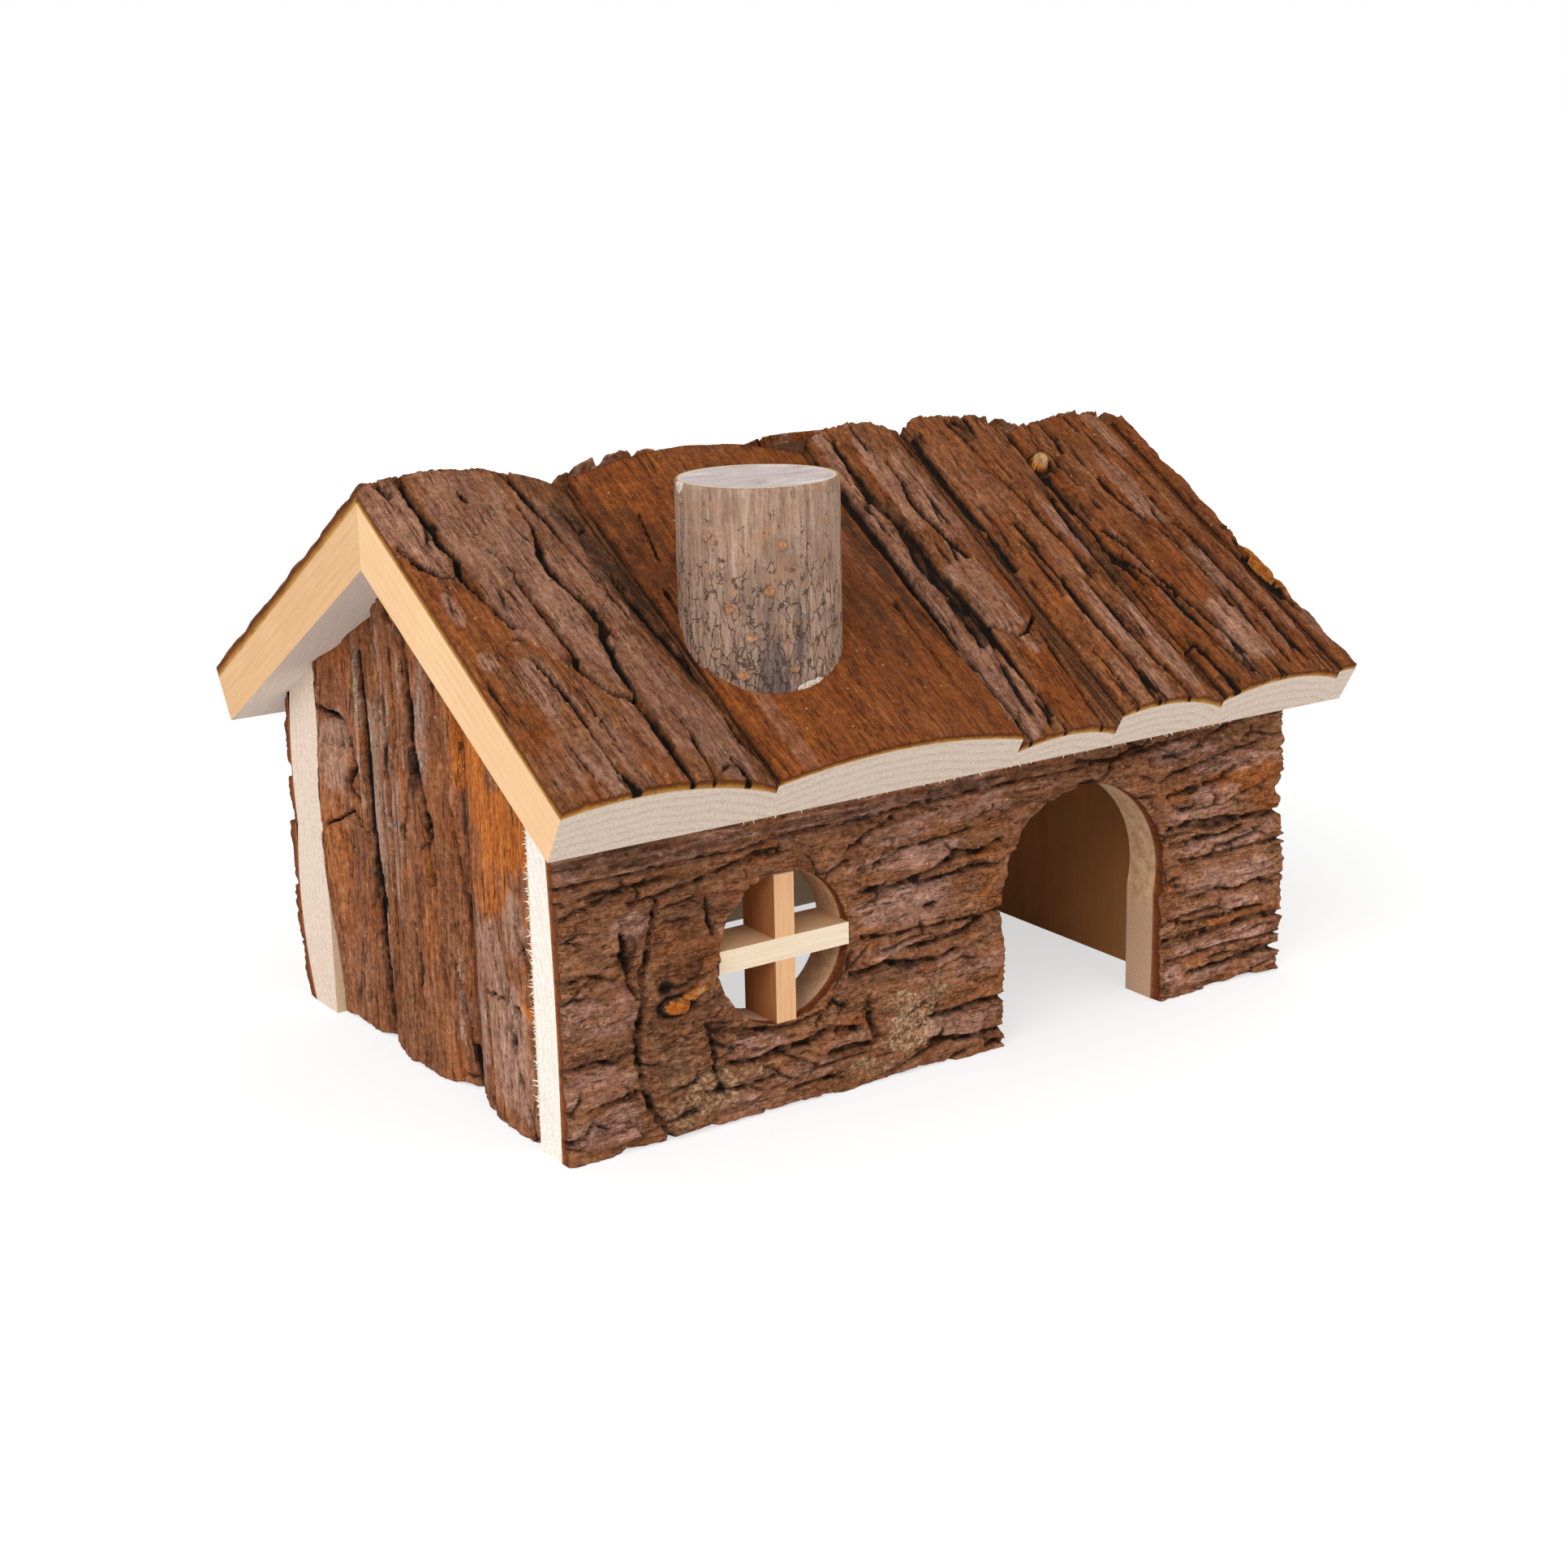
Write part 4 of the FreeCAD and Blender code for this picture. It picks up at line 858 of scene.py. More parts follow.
GABLE_TONES = dict(
    brown=((66, 34, 18), (116, 70, 45), (154, 102, 71), (194, 144, 110)),
    grey=((98, 66, 52), (148, 108, 88), (178, 138, 116), (208, 176, 154)),
    orange=((108, 50, 14), (166, 88, 32), (200, 116, 48), (228, 156, 88)),
    section=((56, 30, 18), (98, 46, 20), (126, 60, 24), (146, 76, 34), (196, 150, 92)),
    shaded_hollow=(20, 12, 8), dry=(214, 184, 160), dust=((146, 128, 104), (206, 192, 168)))


def bark_material(name, rotation, tones, lift, stretch=0.12):
    """Bark of a log whose length the rotation turns onto X."""
    t = Material(name, roughness=0.84, specular=0.14)
    along = t.place(rotation=rotation, scale=(stretch, 1, 1))
    thin = t.place(rotation=rotation, scale=(0.08, 1, 1))
    plain = t.place((3, 1, 7), rotation)
    fine = t.noise(along, 2.6, 6, 0.6)
    mottle = t.noise(plain, 0.35, 5, 0.6)
    speck = t.noise(plain, 1.1, 5, 0.62)
    rough = t.noise(plain, 0.8, 10, 0.74)
    crack, grey, warm, stain_and_shade = t.marks("marks")
    shade, dust, section, twig = t.marks("tones")

    grain = t.noise(along, 0.7, 8, 0.62) * 0.36 + fine * 0.22 + rough * 0.42
    brown, greyish, orange = (t.ramp(grain, (0.36, 0.46, 0.55, 0.66), tones[key])
                              for key in ("brown", "grey", "orange"))
    warmth = warm + (t.noise(plain, 0.055, 4, 0.55) - 0.5) * 0.9
    base = t.mix(t.step(warmth, 0, 1), brown, orange)
    greyed = grey * t.step(mottle + grey * 0.25, 0.36, 0.66)
    base = t.mix(greyed, base, greyish)
    base = t.mix(t.step(t.noise(plain, 0.14, 4, 0.6), 0.5, 0.68) * 0.22, base, (120, 60, 34))
    # Small dark pits where flakes have come off.
    pit = 1 - t.step(t.noise(along, 1.3, 4, 0.6), 0.30, 0.395)
    base = t.mix(pit * 0.7, base, (46, 26, 15))
    light = (shade * 0.40 + 0.80) * lift
    base = t.mix(1.0, base, t.add("ShaderNodeCombineXYZ", {0: light, 1: light, 2: light}), "MULTIPLY")
    # Fine broken cracks along the log.
    thread = 1 - t.step(abs(t.noise(thin, 0.55, 6, 0.58, 0.4) - 0.5), 0, 0.016)
    thread = thread * t.step(t.noise(plain, 0.16, 3, 0.5), 0.44, 0.58)
    base = t.mix(thread * 0.65, base, (44, 28, 18))
    # Pale dry fibres on the weathered parts.
    dry = 1 - t.step(abs(t.noise(thin, 1.0, 5, 0.6, 0.3) - 0.47), 0.004, 0.024)
    dry = dry * (greyed * t.step(speck, 0.44, 0.58))
    base = t.mix(dry * 0.55, base, tones["dry"])
    # Pale flecks, here and there one.
    away = t.add("ShaderNodeTexVoronoi", {"Vector": plain, "Scale": 0.42, "Randomness": 1.0}, "Distance")
    chosen = t.add("ShaderNodeSeparateColor", {"Color": away.output("Color")})
    fleck = (away < 0.12) * (chosen < 0.22)
    base = t.mix(fleck * 0.5, base, (206, 168, 124))
    dusty = dust * t.step(speck + dust * 0.10, 0.46, 0.62)
    base = t.mix(dusty * 0.8, base, t.ramp(rough, (0.4, 0.6), tones["dust"]))
    # Dark patches: partly real stains, partly painted shade along furrows, by the roof seam near the chimney
    # and round the twig stub.
    base = t.mix(stain_and_shade * t.step(mottle, 0.25, 0.6), base, (52, 38, 28))
    layers = t.ramp(section + (mottle - 0.5) * 0.25, (0.0, 0.25, 0.5, 0.75, 1.0), tones["section"])
    base = t.mix(t.step(section, 0.02, 0.22), base, layers)
    # The crack mark colours cracks, seams and torn edges near-black: painted shade in the cracks, and the
    # dark of torn bark.
    base = t.mix(t.step(crack, 0.08, 0.85), base, tones["shaded_hollow"])
    # Broken-off twigs show gum where their mark is half, and fresh wood where it is full.
    gum = t.ramp(rough, (0.35, 0.5, 0.65), ((150, 78, 22), (186, 106, 36), (210, 138, 62)))
    wood = t.ramp(rough, (0.35, 0.5, 0.65), ((152, 106, 66), (190, 146, 100), (214, 178, 134)))
    base = t.mix(t.step(twig, 0.2, 0.4), base, t.mix(t.step(twig, 0.65, 0.95), gum, wood))
    relief = fine * 0.5 + t.noise(plain, 2.2, 6, 0.68) * 0.7 - (thread + pit) * 0.5 + dusty * 0.6
    return t.finish(base, relief, 0.9, 0.0006)


class Wood(Material):
    """Sawn softwood with growth rings about the log's pith. The rotation turns the log's length onto X."""

    def __init__(self, name, pith, rotation, side=(238, 197, 150), end=(219, 201, 185), ring=2.1, seed=0.0,
                 contrast=1.0, smudge=None):
        super().__init__(name, roughness=0.72, specular=0.25)
        stretched = self.place(pith, rotation, (0.02, 0.12, 0.12))
        self.plain = self.place(pith, rotation)
        self.wander = self.noise(stretched, 0.3, 3, 0.5)
        self.fibre = self.noise(self.place(pith, rotation, (0.10, 3.2, 3.2)), 1.0, 5, 0.6)
        self.fuzz = self.noise(self.plain, 1.7, 6, 0.7)
        self.normal = self.add("ShaderNodeTexCoord", output="Normal")
        facing = self.add("ShaderNodeMapping", {"Vector": self.normal, "Rotation": rotation})
        self.is_end = self.step(abs(self.axis(facing, 0)), 0.55, 0.85)

        y, z = self.axis(self.plain, 1), self.axis(self.plain, 2)
        radius = self.math("SQRT", y * y + z * z) + self.wander * 6.0 + seed
        phase = self.math("FRACT", self.math("DIVIDE", radius, ring))
        late = self.step(phase, 0.35, 0.9) * (1 - self.step(phase, 0.92, 1.0))
        late = late * (self.step(self.noise(stretched, 3.0, 2, 0.5), 0.35, 0.65) * 0.65 + 0.35)

        long_colour = self.around(self.fibre, side, (0.3, 0.5, 0.72), (-8, -10, -14), (6, 8, 10))
        long_colour = self.mix(late * (0.13 * contrast), long_colour, scaled(side, 0.86, 0.72, 0.58))
        cloud = self.step(self.noise(self.plain, 0.05, 4, 0.55), 0.4, 0.7)
        long_colour = self.mix(cloud * 0.25, long_colour, scaled(side, 0.95, 0.9, 0.85))
        end_colour = self.around(self.fuzz, end, (0.3, 0.5, 0.68), (-22, -26, -28), (10, 14, 16))
        end_colour = self.mix(late * (0.42 * contrast), end_colour, scaled(end, 0.88, 0.76, 0.66))
        if smudge:
            # Weathered streaks across the sawn end, and a whiter middle.
            streaks = self.noise(self.place(pith, rotation, (1.0, 0.30, 0.11)), 0.55, 6, 0.6, 0.6)
            end_colour = self.mix(self.step(streaks, 0.50, 0.68) * 0.7, end_colour, smudge)
            end_colour = self.mix(self.step(streaks, 0.46, 0.34) * 0.6, end_colour, (238, 230, 228))
        self.colour = self.mix(self.is_end, long_colour, end_colour)

    def around(self, value, colour, places, darker, lighter):
        """A ramp from a darker to a lighter shade of a colour."""
        return self.ramp(value, places, (shifted(colour, *darker), colour, shifted(colour, *lighter)))

    def facet(self, axis, way, tint):
        """Another tint on the faces that look one way along an axis."""
        other = self.around(self.fibre, tint, (0.3, 0.5, 0.7), (-18, -20, -20), (12, 12, 12))
        toward = self.axis(self.normal, axis) * way
        self.colour = self.mix(self.step(toward, 0.55, 0.8), self.colour, other)

    def openings(self, first, last, tint):
        """Walls of the openings sawn through the log between two places along X. Their tops are rubbed."""
        x = self.axis(self.place(), 0)
        wall = (x > first) * (x < last) * (abs(self.axis(self.normal, 1)) < 0.7)
        cut = self.around(self.fibre, tint, (0.3, 0.5, 0.7), (-22, -24, -24), (22, 22, 20))
        patches = self.fuzz * 0.35 + self.noise(self.plain, 0.35, 4, 0.6) * 0.65
        warmer = shifted(tint, 12, 8, -6)
        rubbed = self.around(patches, warmer, (0.38, 0.5, 0.62), (-34, -34, -28), (20, 26, 24))
        high = self.axis(self.plain, 2) + (self.wander - 0.5) * 14.0
        self.colour = self.mix(wall, self.colour, self.mix(self.step(high, -2.0, 6.0) * 0.8, cut, rubbed))

    def hidden_sides(self, axis, limit):
        """Sides against the next slab, within a limit along the axis: dark with bark and old glue."""
        inner = (abs(self.axis(self.normal, axis)) > 0.97) * (abs(self.axis(self.place(), axis)) < limit)
        torn = self.ramp(self.fibre * 0.6 + self.fuzz * 0.4, (0.38, 0.47, 0.56, 0.66),
                         ((38, 22, 13), (92, 56, 34), (128, 82, 52), (160, 110, 76)))
        self.colour = self.mix(inner, self.colour, torn)

    def mitre(self):
        """The upright cut at the ridge, as dark as the hidden sides."""
        upright = abs(self.axis(self.normal, 1)) > 0.97
        torn = self.ramp(self.fuzz, (0.35, 0.6), ((56, 34, 20), (104, 64, 38)))
        self.colour = self.mix(upright, self.colour, torn)

    def dress(self, name):
        """Put the material on a node."""
        rough = self.fibre * (1 - self.is_end) + self.fuzz * (self.is_end * 1.6)
        materials = NODES[name].data.materials
        materials.clear()
        materials.append(self.finish(self.colour, rough, 0.5, 0.0003))


# ---------------------------------------------------------------- roof

RIDGE = np.array([0, RIDGE_Y, RIDGE_Z])
ALONG = np.array([1, 0, 0])
SLOPE = math.tan(PITCH)
QUARTER = math.radians(90)

# Style of each slab's bark, how much of its orange inner bark shows, and how much paler it is.
FRONT_LOOKS = (("plated", 0.1, 0), ("smooth", 0.95, 0), ("ridged", 0.3, 0), ("ridged", 0.45, 0.2),
               ("ridged", 0.6, 0), ("ridged", 0.8, 0))
BACK_LOOKS = (("plated", 0.2, 0), ("ridged", 0.4, 0.1), ("smooth", 0.9, 0), ("ridged", 0.5, 0.1),
              ("plated", 0.2, 0))


def roof_frame(side):
    """Down the slope, and out of the roof. Side is -1 for the front half and 1 for the back half."""
    down = np.array([0, side * math.cos(PITCH), -math.sin(PITCH)])
    out = np.array([0, side * math.sin(PITCH), math.cos(PITCH)])
    return down, out


def leaning(ends, stations):
    """A face known at two stations: its height at the ridge, and its rise per millimetre from there."""
    rise = (ends[1] - ends[0]) / (stations[1] - stations[0])
    return ends[0] - stations[0] * rise, rise


def mitre(height, rise):
    """Where a leaning face meets the upright cut at the ridge."""
    return -height / (1 + rise * SLOPE) * SLOPE


def add_twigs(bark, s, x, twigs):
    """Stubs of twigs, each with a hollow round it that is painted dark as shade."""
    for place, across, long, wide, high, kind in twigs:
        d = np.hypot((s - place) / long, (x - across) / wide)
        shaded_hollow = peak(d, 0.25, 1.35)
        bark.height = bark.height * smooth(0.7, 1.2, d) + high * dome(d) - 0.9 * shaded_hollow
        bark.twig = np.maximum(bark.twig, kind * (d < 0.95))
        bark.dark = np.maximum(bark.dark, 0.8 * shaded_hollow)


def roof_bark(s, x, style, seed, number, cracks):
    """Bark of a roof slab with its long cracks. One with a number has its other marks listed, too."""
    bark = bark_relief(s, x, style, seed)
    bark.depth, bark.dark = fissures(s, x, cracks, seed + 40, broken=0 if number else 0.45)
    if number:
        bark.grey = spots(s, x, ROOF_GREY[number], seed + 50)
        bark.warm = spots(s, x, ROOF_WARM[number], seed + 60)
        bark.stain_and_shade = spots(s, x, ROOF_DARK[number], seed + 70)
        add_twigs(bark, s, x, ROOF_TWIGS.get(number, []))
    else:
        guess_patches(bark, s, x, seed)
    return bark


def roof_slab(name, side, slope, style, warmth, paler, seed, step, material, number=None):
    """The rind of a roof slab, from the mitre at the ridge to the eave."""
    (x0, _, _), (x1, _, _) = box_of(f"{name}_bark")
    down, out = roof_frame(side)
    line = np.linspace(x0, x1, max(int((x1 - x0) / step), 6) + 1)
    probes = np.clip(line, x0 + INSET, x1 - INSET)
    stations = (6.0, slope - 6.0)

    def spot(x, s):
        return RIDGE + down * s + np.array([x, 0, 0])

    ends, middles = round_face(f"{name}_bark", probes, probes, spot, out, stations, 60.0)
    bark_height, bark_rise = leaning(ends, stations)
    cracks = ROOF_FISSURES[number] if number else furrow_lines(stations, middles, 14, seed + 30)
    ends, _ = round_face(name, probes, probes, spot, out, stations, 60.0)
    wood_height, wood_rise = leaning(ends, stations)

    rows = int((slope + 8) / step) + 1
    u = np.linspace(0, 1, rows)[:, None]
    x = np.broadcast_to(line, (rows, len(line)))
    at_roof_end = ROOF_END - np.abs(x) < 2.2

    def surface(s):
        """Height above the roof's underside, and the bark, at places down the slope."""
        bark = roof_bark(s, x, style, seed, number, cracks)
        tint_scales(bark, s, x, seed, warmth, 0.5, 0.5)
        bark.shade = bark.shade + paler
        if side > 0:
            thicker = 0.7 + 0.5 * noise(s / 9, np.zeros_like(s), seed + 81)
            bark.height = bark.height + 1.2 * smooth(-93, -99, x) * thicker
        edge = np.minimum(x - x0, x1 - x) + 0.6 * fbm(s / 9, x / 3, 4, seed + 80)
        seam = (1 - smooth(0.0, 0.9, edge)) * np.where(at_roof_end, 0.35, 1)
        bark.height = bark.height - bark.depth - 1.3 * seam
        crack = np.maximum(np.maximum(bark.crack, bark.dark), 0.75 * seam * ~at_roof_end)
        bark.crack = np.where(bark.twig > 0.9, 0.0, crack)
        least = wood_height + wood_rise * s + 0.15 + 0.25 * bark.crack
        return np.maximum(bark_height + bark_rise * s + bark.height, least), bark

    # The first row lies in the mitre. Where that is depends on the bark's height, so it is found in turns.
    top = mitre(bark_height, bark_rise)
    for _ in range(3):
        s = top + u * (slope - top)
        total, bark = surface(s)
        top = -total[0] * SLOPE

    # The bark is ragged at the eave, and at the door end it is torn, not sawn.
    ragged = 0.5 * smooth(0, 0.6, fbm(x / 1.6, s / 30, 3, seed + 90)) * smooth(0.9, 1.0, u)
    torn = 0.5 + 1.3 * np.clip(fbm(s / 7, np.full_like(s, 4.2), 4, 711), -0.4, 1)
    x_out = x - smooth(96.5, ROOF_END, x) * torn

    def points(s, height):
        return RIDGE + x_out[..., None] * ALONG + s[..., None] * down + height[..., None] * out

    s_in = np.where(u == 0, mitre(wood_height, wood_rise), s)
    sawn = (u > 0.995) | ((x_out < 0.1 - ROOF_END) & (u > 0.001))
    outer = points(s - ragged, total)
    inner = points(s_in, wood_height + wood_rise * s_in)
    rind(name, outer, inner, grid_faces(*x.shape), bark, material, flip=side < 0, sawn=sawn)


def roof_half(half, side, slope, looks, seed, step, seen):
    """The rinds of one half of the roof. Seen says that the photograph shows its slabs."""
    material = bark_material(f"bark_roof_{half}", (side * PITCH, 0, QUARTER), ROOF_TONES, 1.15)
    for number, look in enumerate(looks, 1):
        name = f"{half}_slab_{number}"
        roof_slab(name, side, slope, *look, seed + number, step, material, number if seen else None)


roof_half("front", -1, FRONT_SLOPE, FRONT_LOOKS, 100, STEP, seen=True)
roof_half("back", 1, BACK_SLOPE, BACK_LOOKS, 200, STEP * COARSE_ROOF, seen=False)


# ---------------------------------------------------------------- long walls

def roof_height(distance):
    """Underside of the roof at a distance from the ridge plane."""
    return RIDGE_Z - distance * SLOPE


def foot_chips(along, z, least, spread, most, octaves, seed):
    """How far a wall's bark is chipped away at its foot."""
    high = np.clip(least + spread * fbm(along, np.full_like(along, 0.7), octaves, seed), 0, most)
    return high * np.clip(1 - z / 3, 0, 1)


def eave_band(bark, x, z, seed):
    """The smooth streaky strip under the eave, left of the door's middle."""
    band = smooth(55.5, 56.5, z + 0.6 * fbm(x / 8, z / 2, 2, seed + 77)) * (1 - smooth(20, 34, x))
    streaks = fbm(x / 14, z / 0.7, 4, seed + 78)
    bark.height = bark.height * (1 - 0.75 * band) + (0.25 * streaks - 0.5) * band
    bark.crack = np.maximum(bark.crack * (1 - 0.8 * band), 0.7 * band * smooth(0.2, 0.6, -streaks))
    worn = smooth(-0.2, 0.3, streaks + 0.3 * noise(x / 18, z / 3, 79))
    bark.grey = np.maximum(bark.grey * (1 - band), band * worn)


def knot_swirl(bark, x, z):
    """The swelling round the broken twig, and the wrinkles that curve under it."""
    knot = np.hypot((x + 66.5) / 5.5, (z - 30) / 5.0)
    swirl = peak(np.hypot(x + 65.5, (z - 25) * 0.7), 6, 9) * (z < 27)
    wrinkles = np.sin(np.hypot(x + 65.5, (z - 32) * 0.75) * 3.4 + 3 * fbm(x / 4, z / 4, 3, 5))
    bark.height = bark.height + 1.2 * peak(knot, 1) + 0.3 * swirl * wrinkles
    # Painted shade in the troughs of the wrinkles.
    bark.crack = np.maximum(bark.crack, 0.5 * swirl * smooth(0.55, 0.95, -wrinkles))


def twig_stub(bark, x, z):
    """The broken twig left of the window: a rounded drop of gum, a torn sliver over it and a horn of bark."""
    drop = np.hypot((x + 66.9) / 2.9, (z - 28.2) / 1.7) + 0.12 * noise(x / 1.3, z / 1.1, 21)
    along = np.clip((x + 66.5) / 6.3, 0, 1)
    sliver = np.abs(z - (29.8 + 1.3 * along) - 0.25 * noise(x / 1.2, np.zeros_like(z), 22))
    sliver = sliver / (0.25 + 0.5 * np.sin(np.pi * along))
    on_sliver = (sliver < 1) & (x > -67.2) & (x < -60.6)
    up = np.clip(((x + 62) * 0.7 + (z - 31) * 0.7) / 6.5, 0, 1)
    horn = np.hypot(x + 62 - 4.5 * up, z - 31 - 4.6 * up) / (1.5 - 0.8 * up)
    gap = np.hypot((x + 69.2) / 1.8, (z - 32.4) / 1.6)
    shaded_hollow = np.clip(peak(drop, 0.3, 1.3) + np.exp(-gap ** 4), 0, 1) * ~on_sliver * (drop > 1)

    height = 2.1 * dome(drop)
    height = np.where(on_sliver, np.maximum(height, 2.2 - 0.7 * sliver), height)
    height = np.maximum(height, 1.5 * dome(horn))
    fresh = 0.55 + 0.4 * smooth(0.0, 0.6, noise(x / 0.9, z / 0.5, 23) + 0.3)
    bark.height = bark.height + (height - 0.9 * shaded_hollow)
    bark.twig = np.where(on_sliver, fresh, 0.5 * (drop < 1))
    # Painted shade in the hollow round the drop and in the pit above and left of it.
    bark.dark = np.maximum(bark.dark, 0.85 * shaded_hollow)


def front_wall_bark(x, z, seed):
    """Bark of the front wall, with the listed marks."""
    # The log's strands climb between the window and the door.
    bark = bark_relief(x, z - 0.14 * np.clip(x + 28, 0, 45), "scaly", seed)
    bark.depth, bark.dark = fissures(x, z, WALL_FISSURES, seed + 40, 0.85, (3.5, 2.2), 0.4)
    bark.grey = spots(x, z, WALL_GREY, seed + 50)
    bark.warm = spots(x, z, WALL_WARM, seed + 60)
    bark.stain_and_shade = spots(x, z, WALL_DARK, seed + 70)
    bark.dust = spots(x, z, WALL_DUST, seed + 75)
    bark.shade = bark.shade + 0.25 * smooth(56, 64, x) - 0.2 * smooth(-44, -60, x)
    eave_band(bark, x, z, seed)
    knot_swirl(bark, x, z)
    twig_stub(bark, x, z)
    return bark


def back_wall_bark(x, z, seed, furrows):
    """Bark of a back wall slab, which the photograph doesn't show."""
    bark = bark_relief(x, z, "scaly", seed)
    bark.depth, bark.dark = fissures(x, z, furrows, seed + 40, 0.85, (4, 2.5), 0.5)
    guess_patches(bark, x, z, seed)
    return bark


def onto_rim(x, z, inside, centre_x, centre_z, radius):
    """Move the points inside a round opening onto its rim."""
    away = np.maximum(np.hypot(x - centre_x, z - centre_z), 1e-6)
    rim_x = centre_x + (x - centre_x) * radius / away
    rim_z = centre_z + (z - centre_z) * radius / away
    return np.where(inside, rim_x, x), np.where(inside, rim_z, z)


def fit_openings(x, z):
    """Move the points inside the window and the door onto their rims. Says which points these are, too."""
    spring = ARCH_Z - math.sqrt(ARCH_R ** 2 - DOOR_HALF ** 2)
    in_window = np.hypot(x - WINDOW_X, z - WINDOW_Z) < WINDOW_R
    in_arch = (np.hypot(x - DOOR_X, z - ARCH_Z) < ARCH_R) & (z > spring)
    in_jambs = (np.abs(x - DOOR_X) < DOOR_HALF) & (z <= spring)
    jambs = DOOR_X + np.sign(x - DOOR_X + 1e-9) * DOOR_HALF
    x, z = onto_rim(x, z, in_window, WINDOW_X, WINDOW_Z, WINDOW_R)
    x, z = onto_rim(x, z, in_arch, DOOR_X, ARCH_Z, ARCH_R)
    return np.where(in_jambs, jambs, x), z, in_window | in_arch | in_jambs


def long_wall(name, side, z0, z1, seed, step):
    """The rind of a slab that lies in a long wall."""
    (x0, _, _), (x1, _, _) = box_of(name)
    highest = box_of(f"{name}_bark")[1][2]
    line = np.linspace(z0, z1, max(int((z1 - z0) / step), 4) + 1)
    # The bark's top leans with the roof, so the rays stay below it.
    probes = np.clip(line, z0 + INSET, min(z1 - INSET, highest - 6))
    stations = (x0 + 2.0, x1 - 2.0)
    out = np.array([0, side, 0.0])

    def spot(z, x):
        return np.array([x, RIDGE_Y, z])

    ends, middles = round_face(f"{name}_bark", line, probes, spot, out, stations, 120)
    wood, _ = round_face(name, line, probes, spot, out, stations[:1], 120)

    x, z = np.meshgrid(np.linspace(x0, x1, int((x1 - x0) / step) + 1), line)
    faces = grid_faces(*x.shape)
    if side < 0:
        x, z, hole = fit_openings(x, z)
        faces = faces[~hole.ravel()[faces].all(1)]
        bark = front_wall_bark(x, z, seed)
    else:
        bark = back_wall_bark(x, z, seed, furrow_lines(stations, middles, 4, seed + 30))
    tint_scales(bark, x, z, seed, 0.12, 0.5, 0.3, 1.4)

    rim = 1 - smooth(0.0, 1.2, np.minimum(x - x0, x1 - x) + 0.4 * fbm(x / 3, z / 2, 3, seed + 80))
    if side > 0:
        seam = 1 - smooth(0, 1.5, np.minimum(z - z0, z1 - z) + 0.5 * fbm(x / 5, z / 3, 2, seed + 81))
        seam = np.where(z < 3, 0, seam)
        bark.crack = np.maximum(bark.crack, 0.8 * seam)
        rim = np.maximum(rim, seam)
    bark.height = bark.height - bark.depth - 0.5 * rim
    bark.crack = np.maximum(bark.crack * 0.85, bark.dark)

    wood = np.broadcast_to(wood[0][:, None], x.shape)
    total = np.maximum(ends[0][:, None] + bark.height, wood + 0.2 + 0.3 * bark.crack)
    x_out, z_out = x, np.minimum(z, roof_height(total))
    if side < 0:
        # At the door end the bark stands out past the wood, and is torn back here and there.
        torn = smooth(0.0, 0.6, fbm(np.full_like(x, 3.3), z / 5.5, 3, seed + 83))
        past = 1.1 - 1.3 * bark.dark - 0.4 * bark.crack - 1.3 * torn
        x_out = x + smooth(3.0, 0.0, x1 - x) * past
    if z0 == 0:
        z_out = z_out + foot_chips(x / 11, z, 0.4, 0.9, 1.2, 4, seed + 84)
    outer = np.stack([x_out, RIDGE_Y + side * total, z_out], -1)
    inner = np.stack([x, RIDGE_Y + side * wood, np.minimum(z, roof_height(wood))], -1)
    rind(name, outer, inner, faces, bark, WALL_BARK, flip=side > 0)


# Painted light: the lift of 1.36 makes the long walls' bark as bright as more light on the front wall would.
WALL_BARK = bark_material("bark_long_walls", (0, 0, 0), WALL_TONES, 1.36, 0.26)
long_wall("front_wall", -1, 0.0, WALL_HEIGHT, 301, STEP)
long_wall("back_wall_1", 1, 0.0, BACK_SEAM, 302, STEP * COARSE)
long_wall("back_wall_2", 1, BACK_SEAM, WALL_HEIGHT, 303, STEP * COARSE)


# ---------------------------------------------------------------- gables

def left_gable_bark(z, y, seed):
    """Bark of the left gable, with the listed marks."""
    ahead = RIDGE_Y - y
    bark = bark_relief(z, y, "gable", seed)
    bark.depth, bark.dark = fissures(z, ahead, GABLE_FISSURES, seed + 40, 1.15, (12, 3))
    pale = spots(z, ahead, GABLE_PALE, 475) * smooth(-0.25, 0.2, fbm(z / 9, y / 0.7, 3, 476))
    bark.grey = np.maximum(spots(z, ahead, GABLE_GREY, 450), pale)
    bark.warm = spots(z, ahead, GABLE_WARM, 460) * (1 - pale)
    bark.stain_and_shade = spots(z, ahead, GABLE_DARK, 470)
    bark.shade = bark.shade + 0.4 * pale
    bark.dust = 0.8 * pale
    calm = spots(z, ahead, GABLE_CALM, 480)
    bark.height = bark.height * (1 - 0.7 * calm)
    bark.crack = bark.crack * (1 - calm)
    return bark


def right_gable_bark(z, y, seed, furrows):
    """Bark of the right gable, which the photograph doesn't show."""
    bark = bark_relief(z, y, "gable", seed)
    bark.depth, bark.dark = fissures(z, y, furrows, seed + 40, 0.9, (12, 3), 0.7)
    guess_patches(bark, z, y, seed, 0.15, 0.9)
    return bark


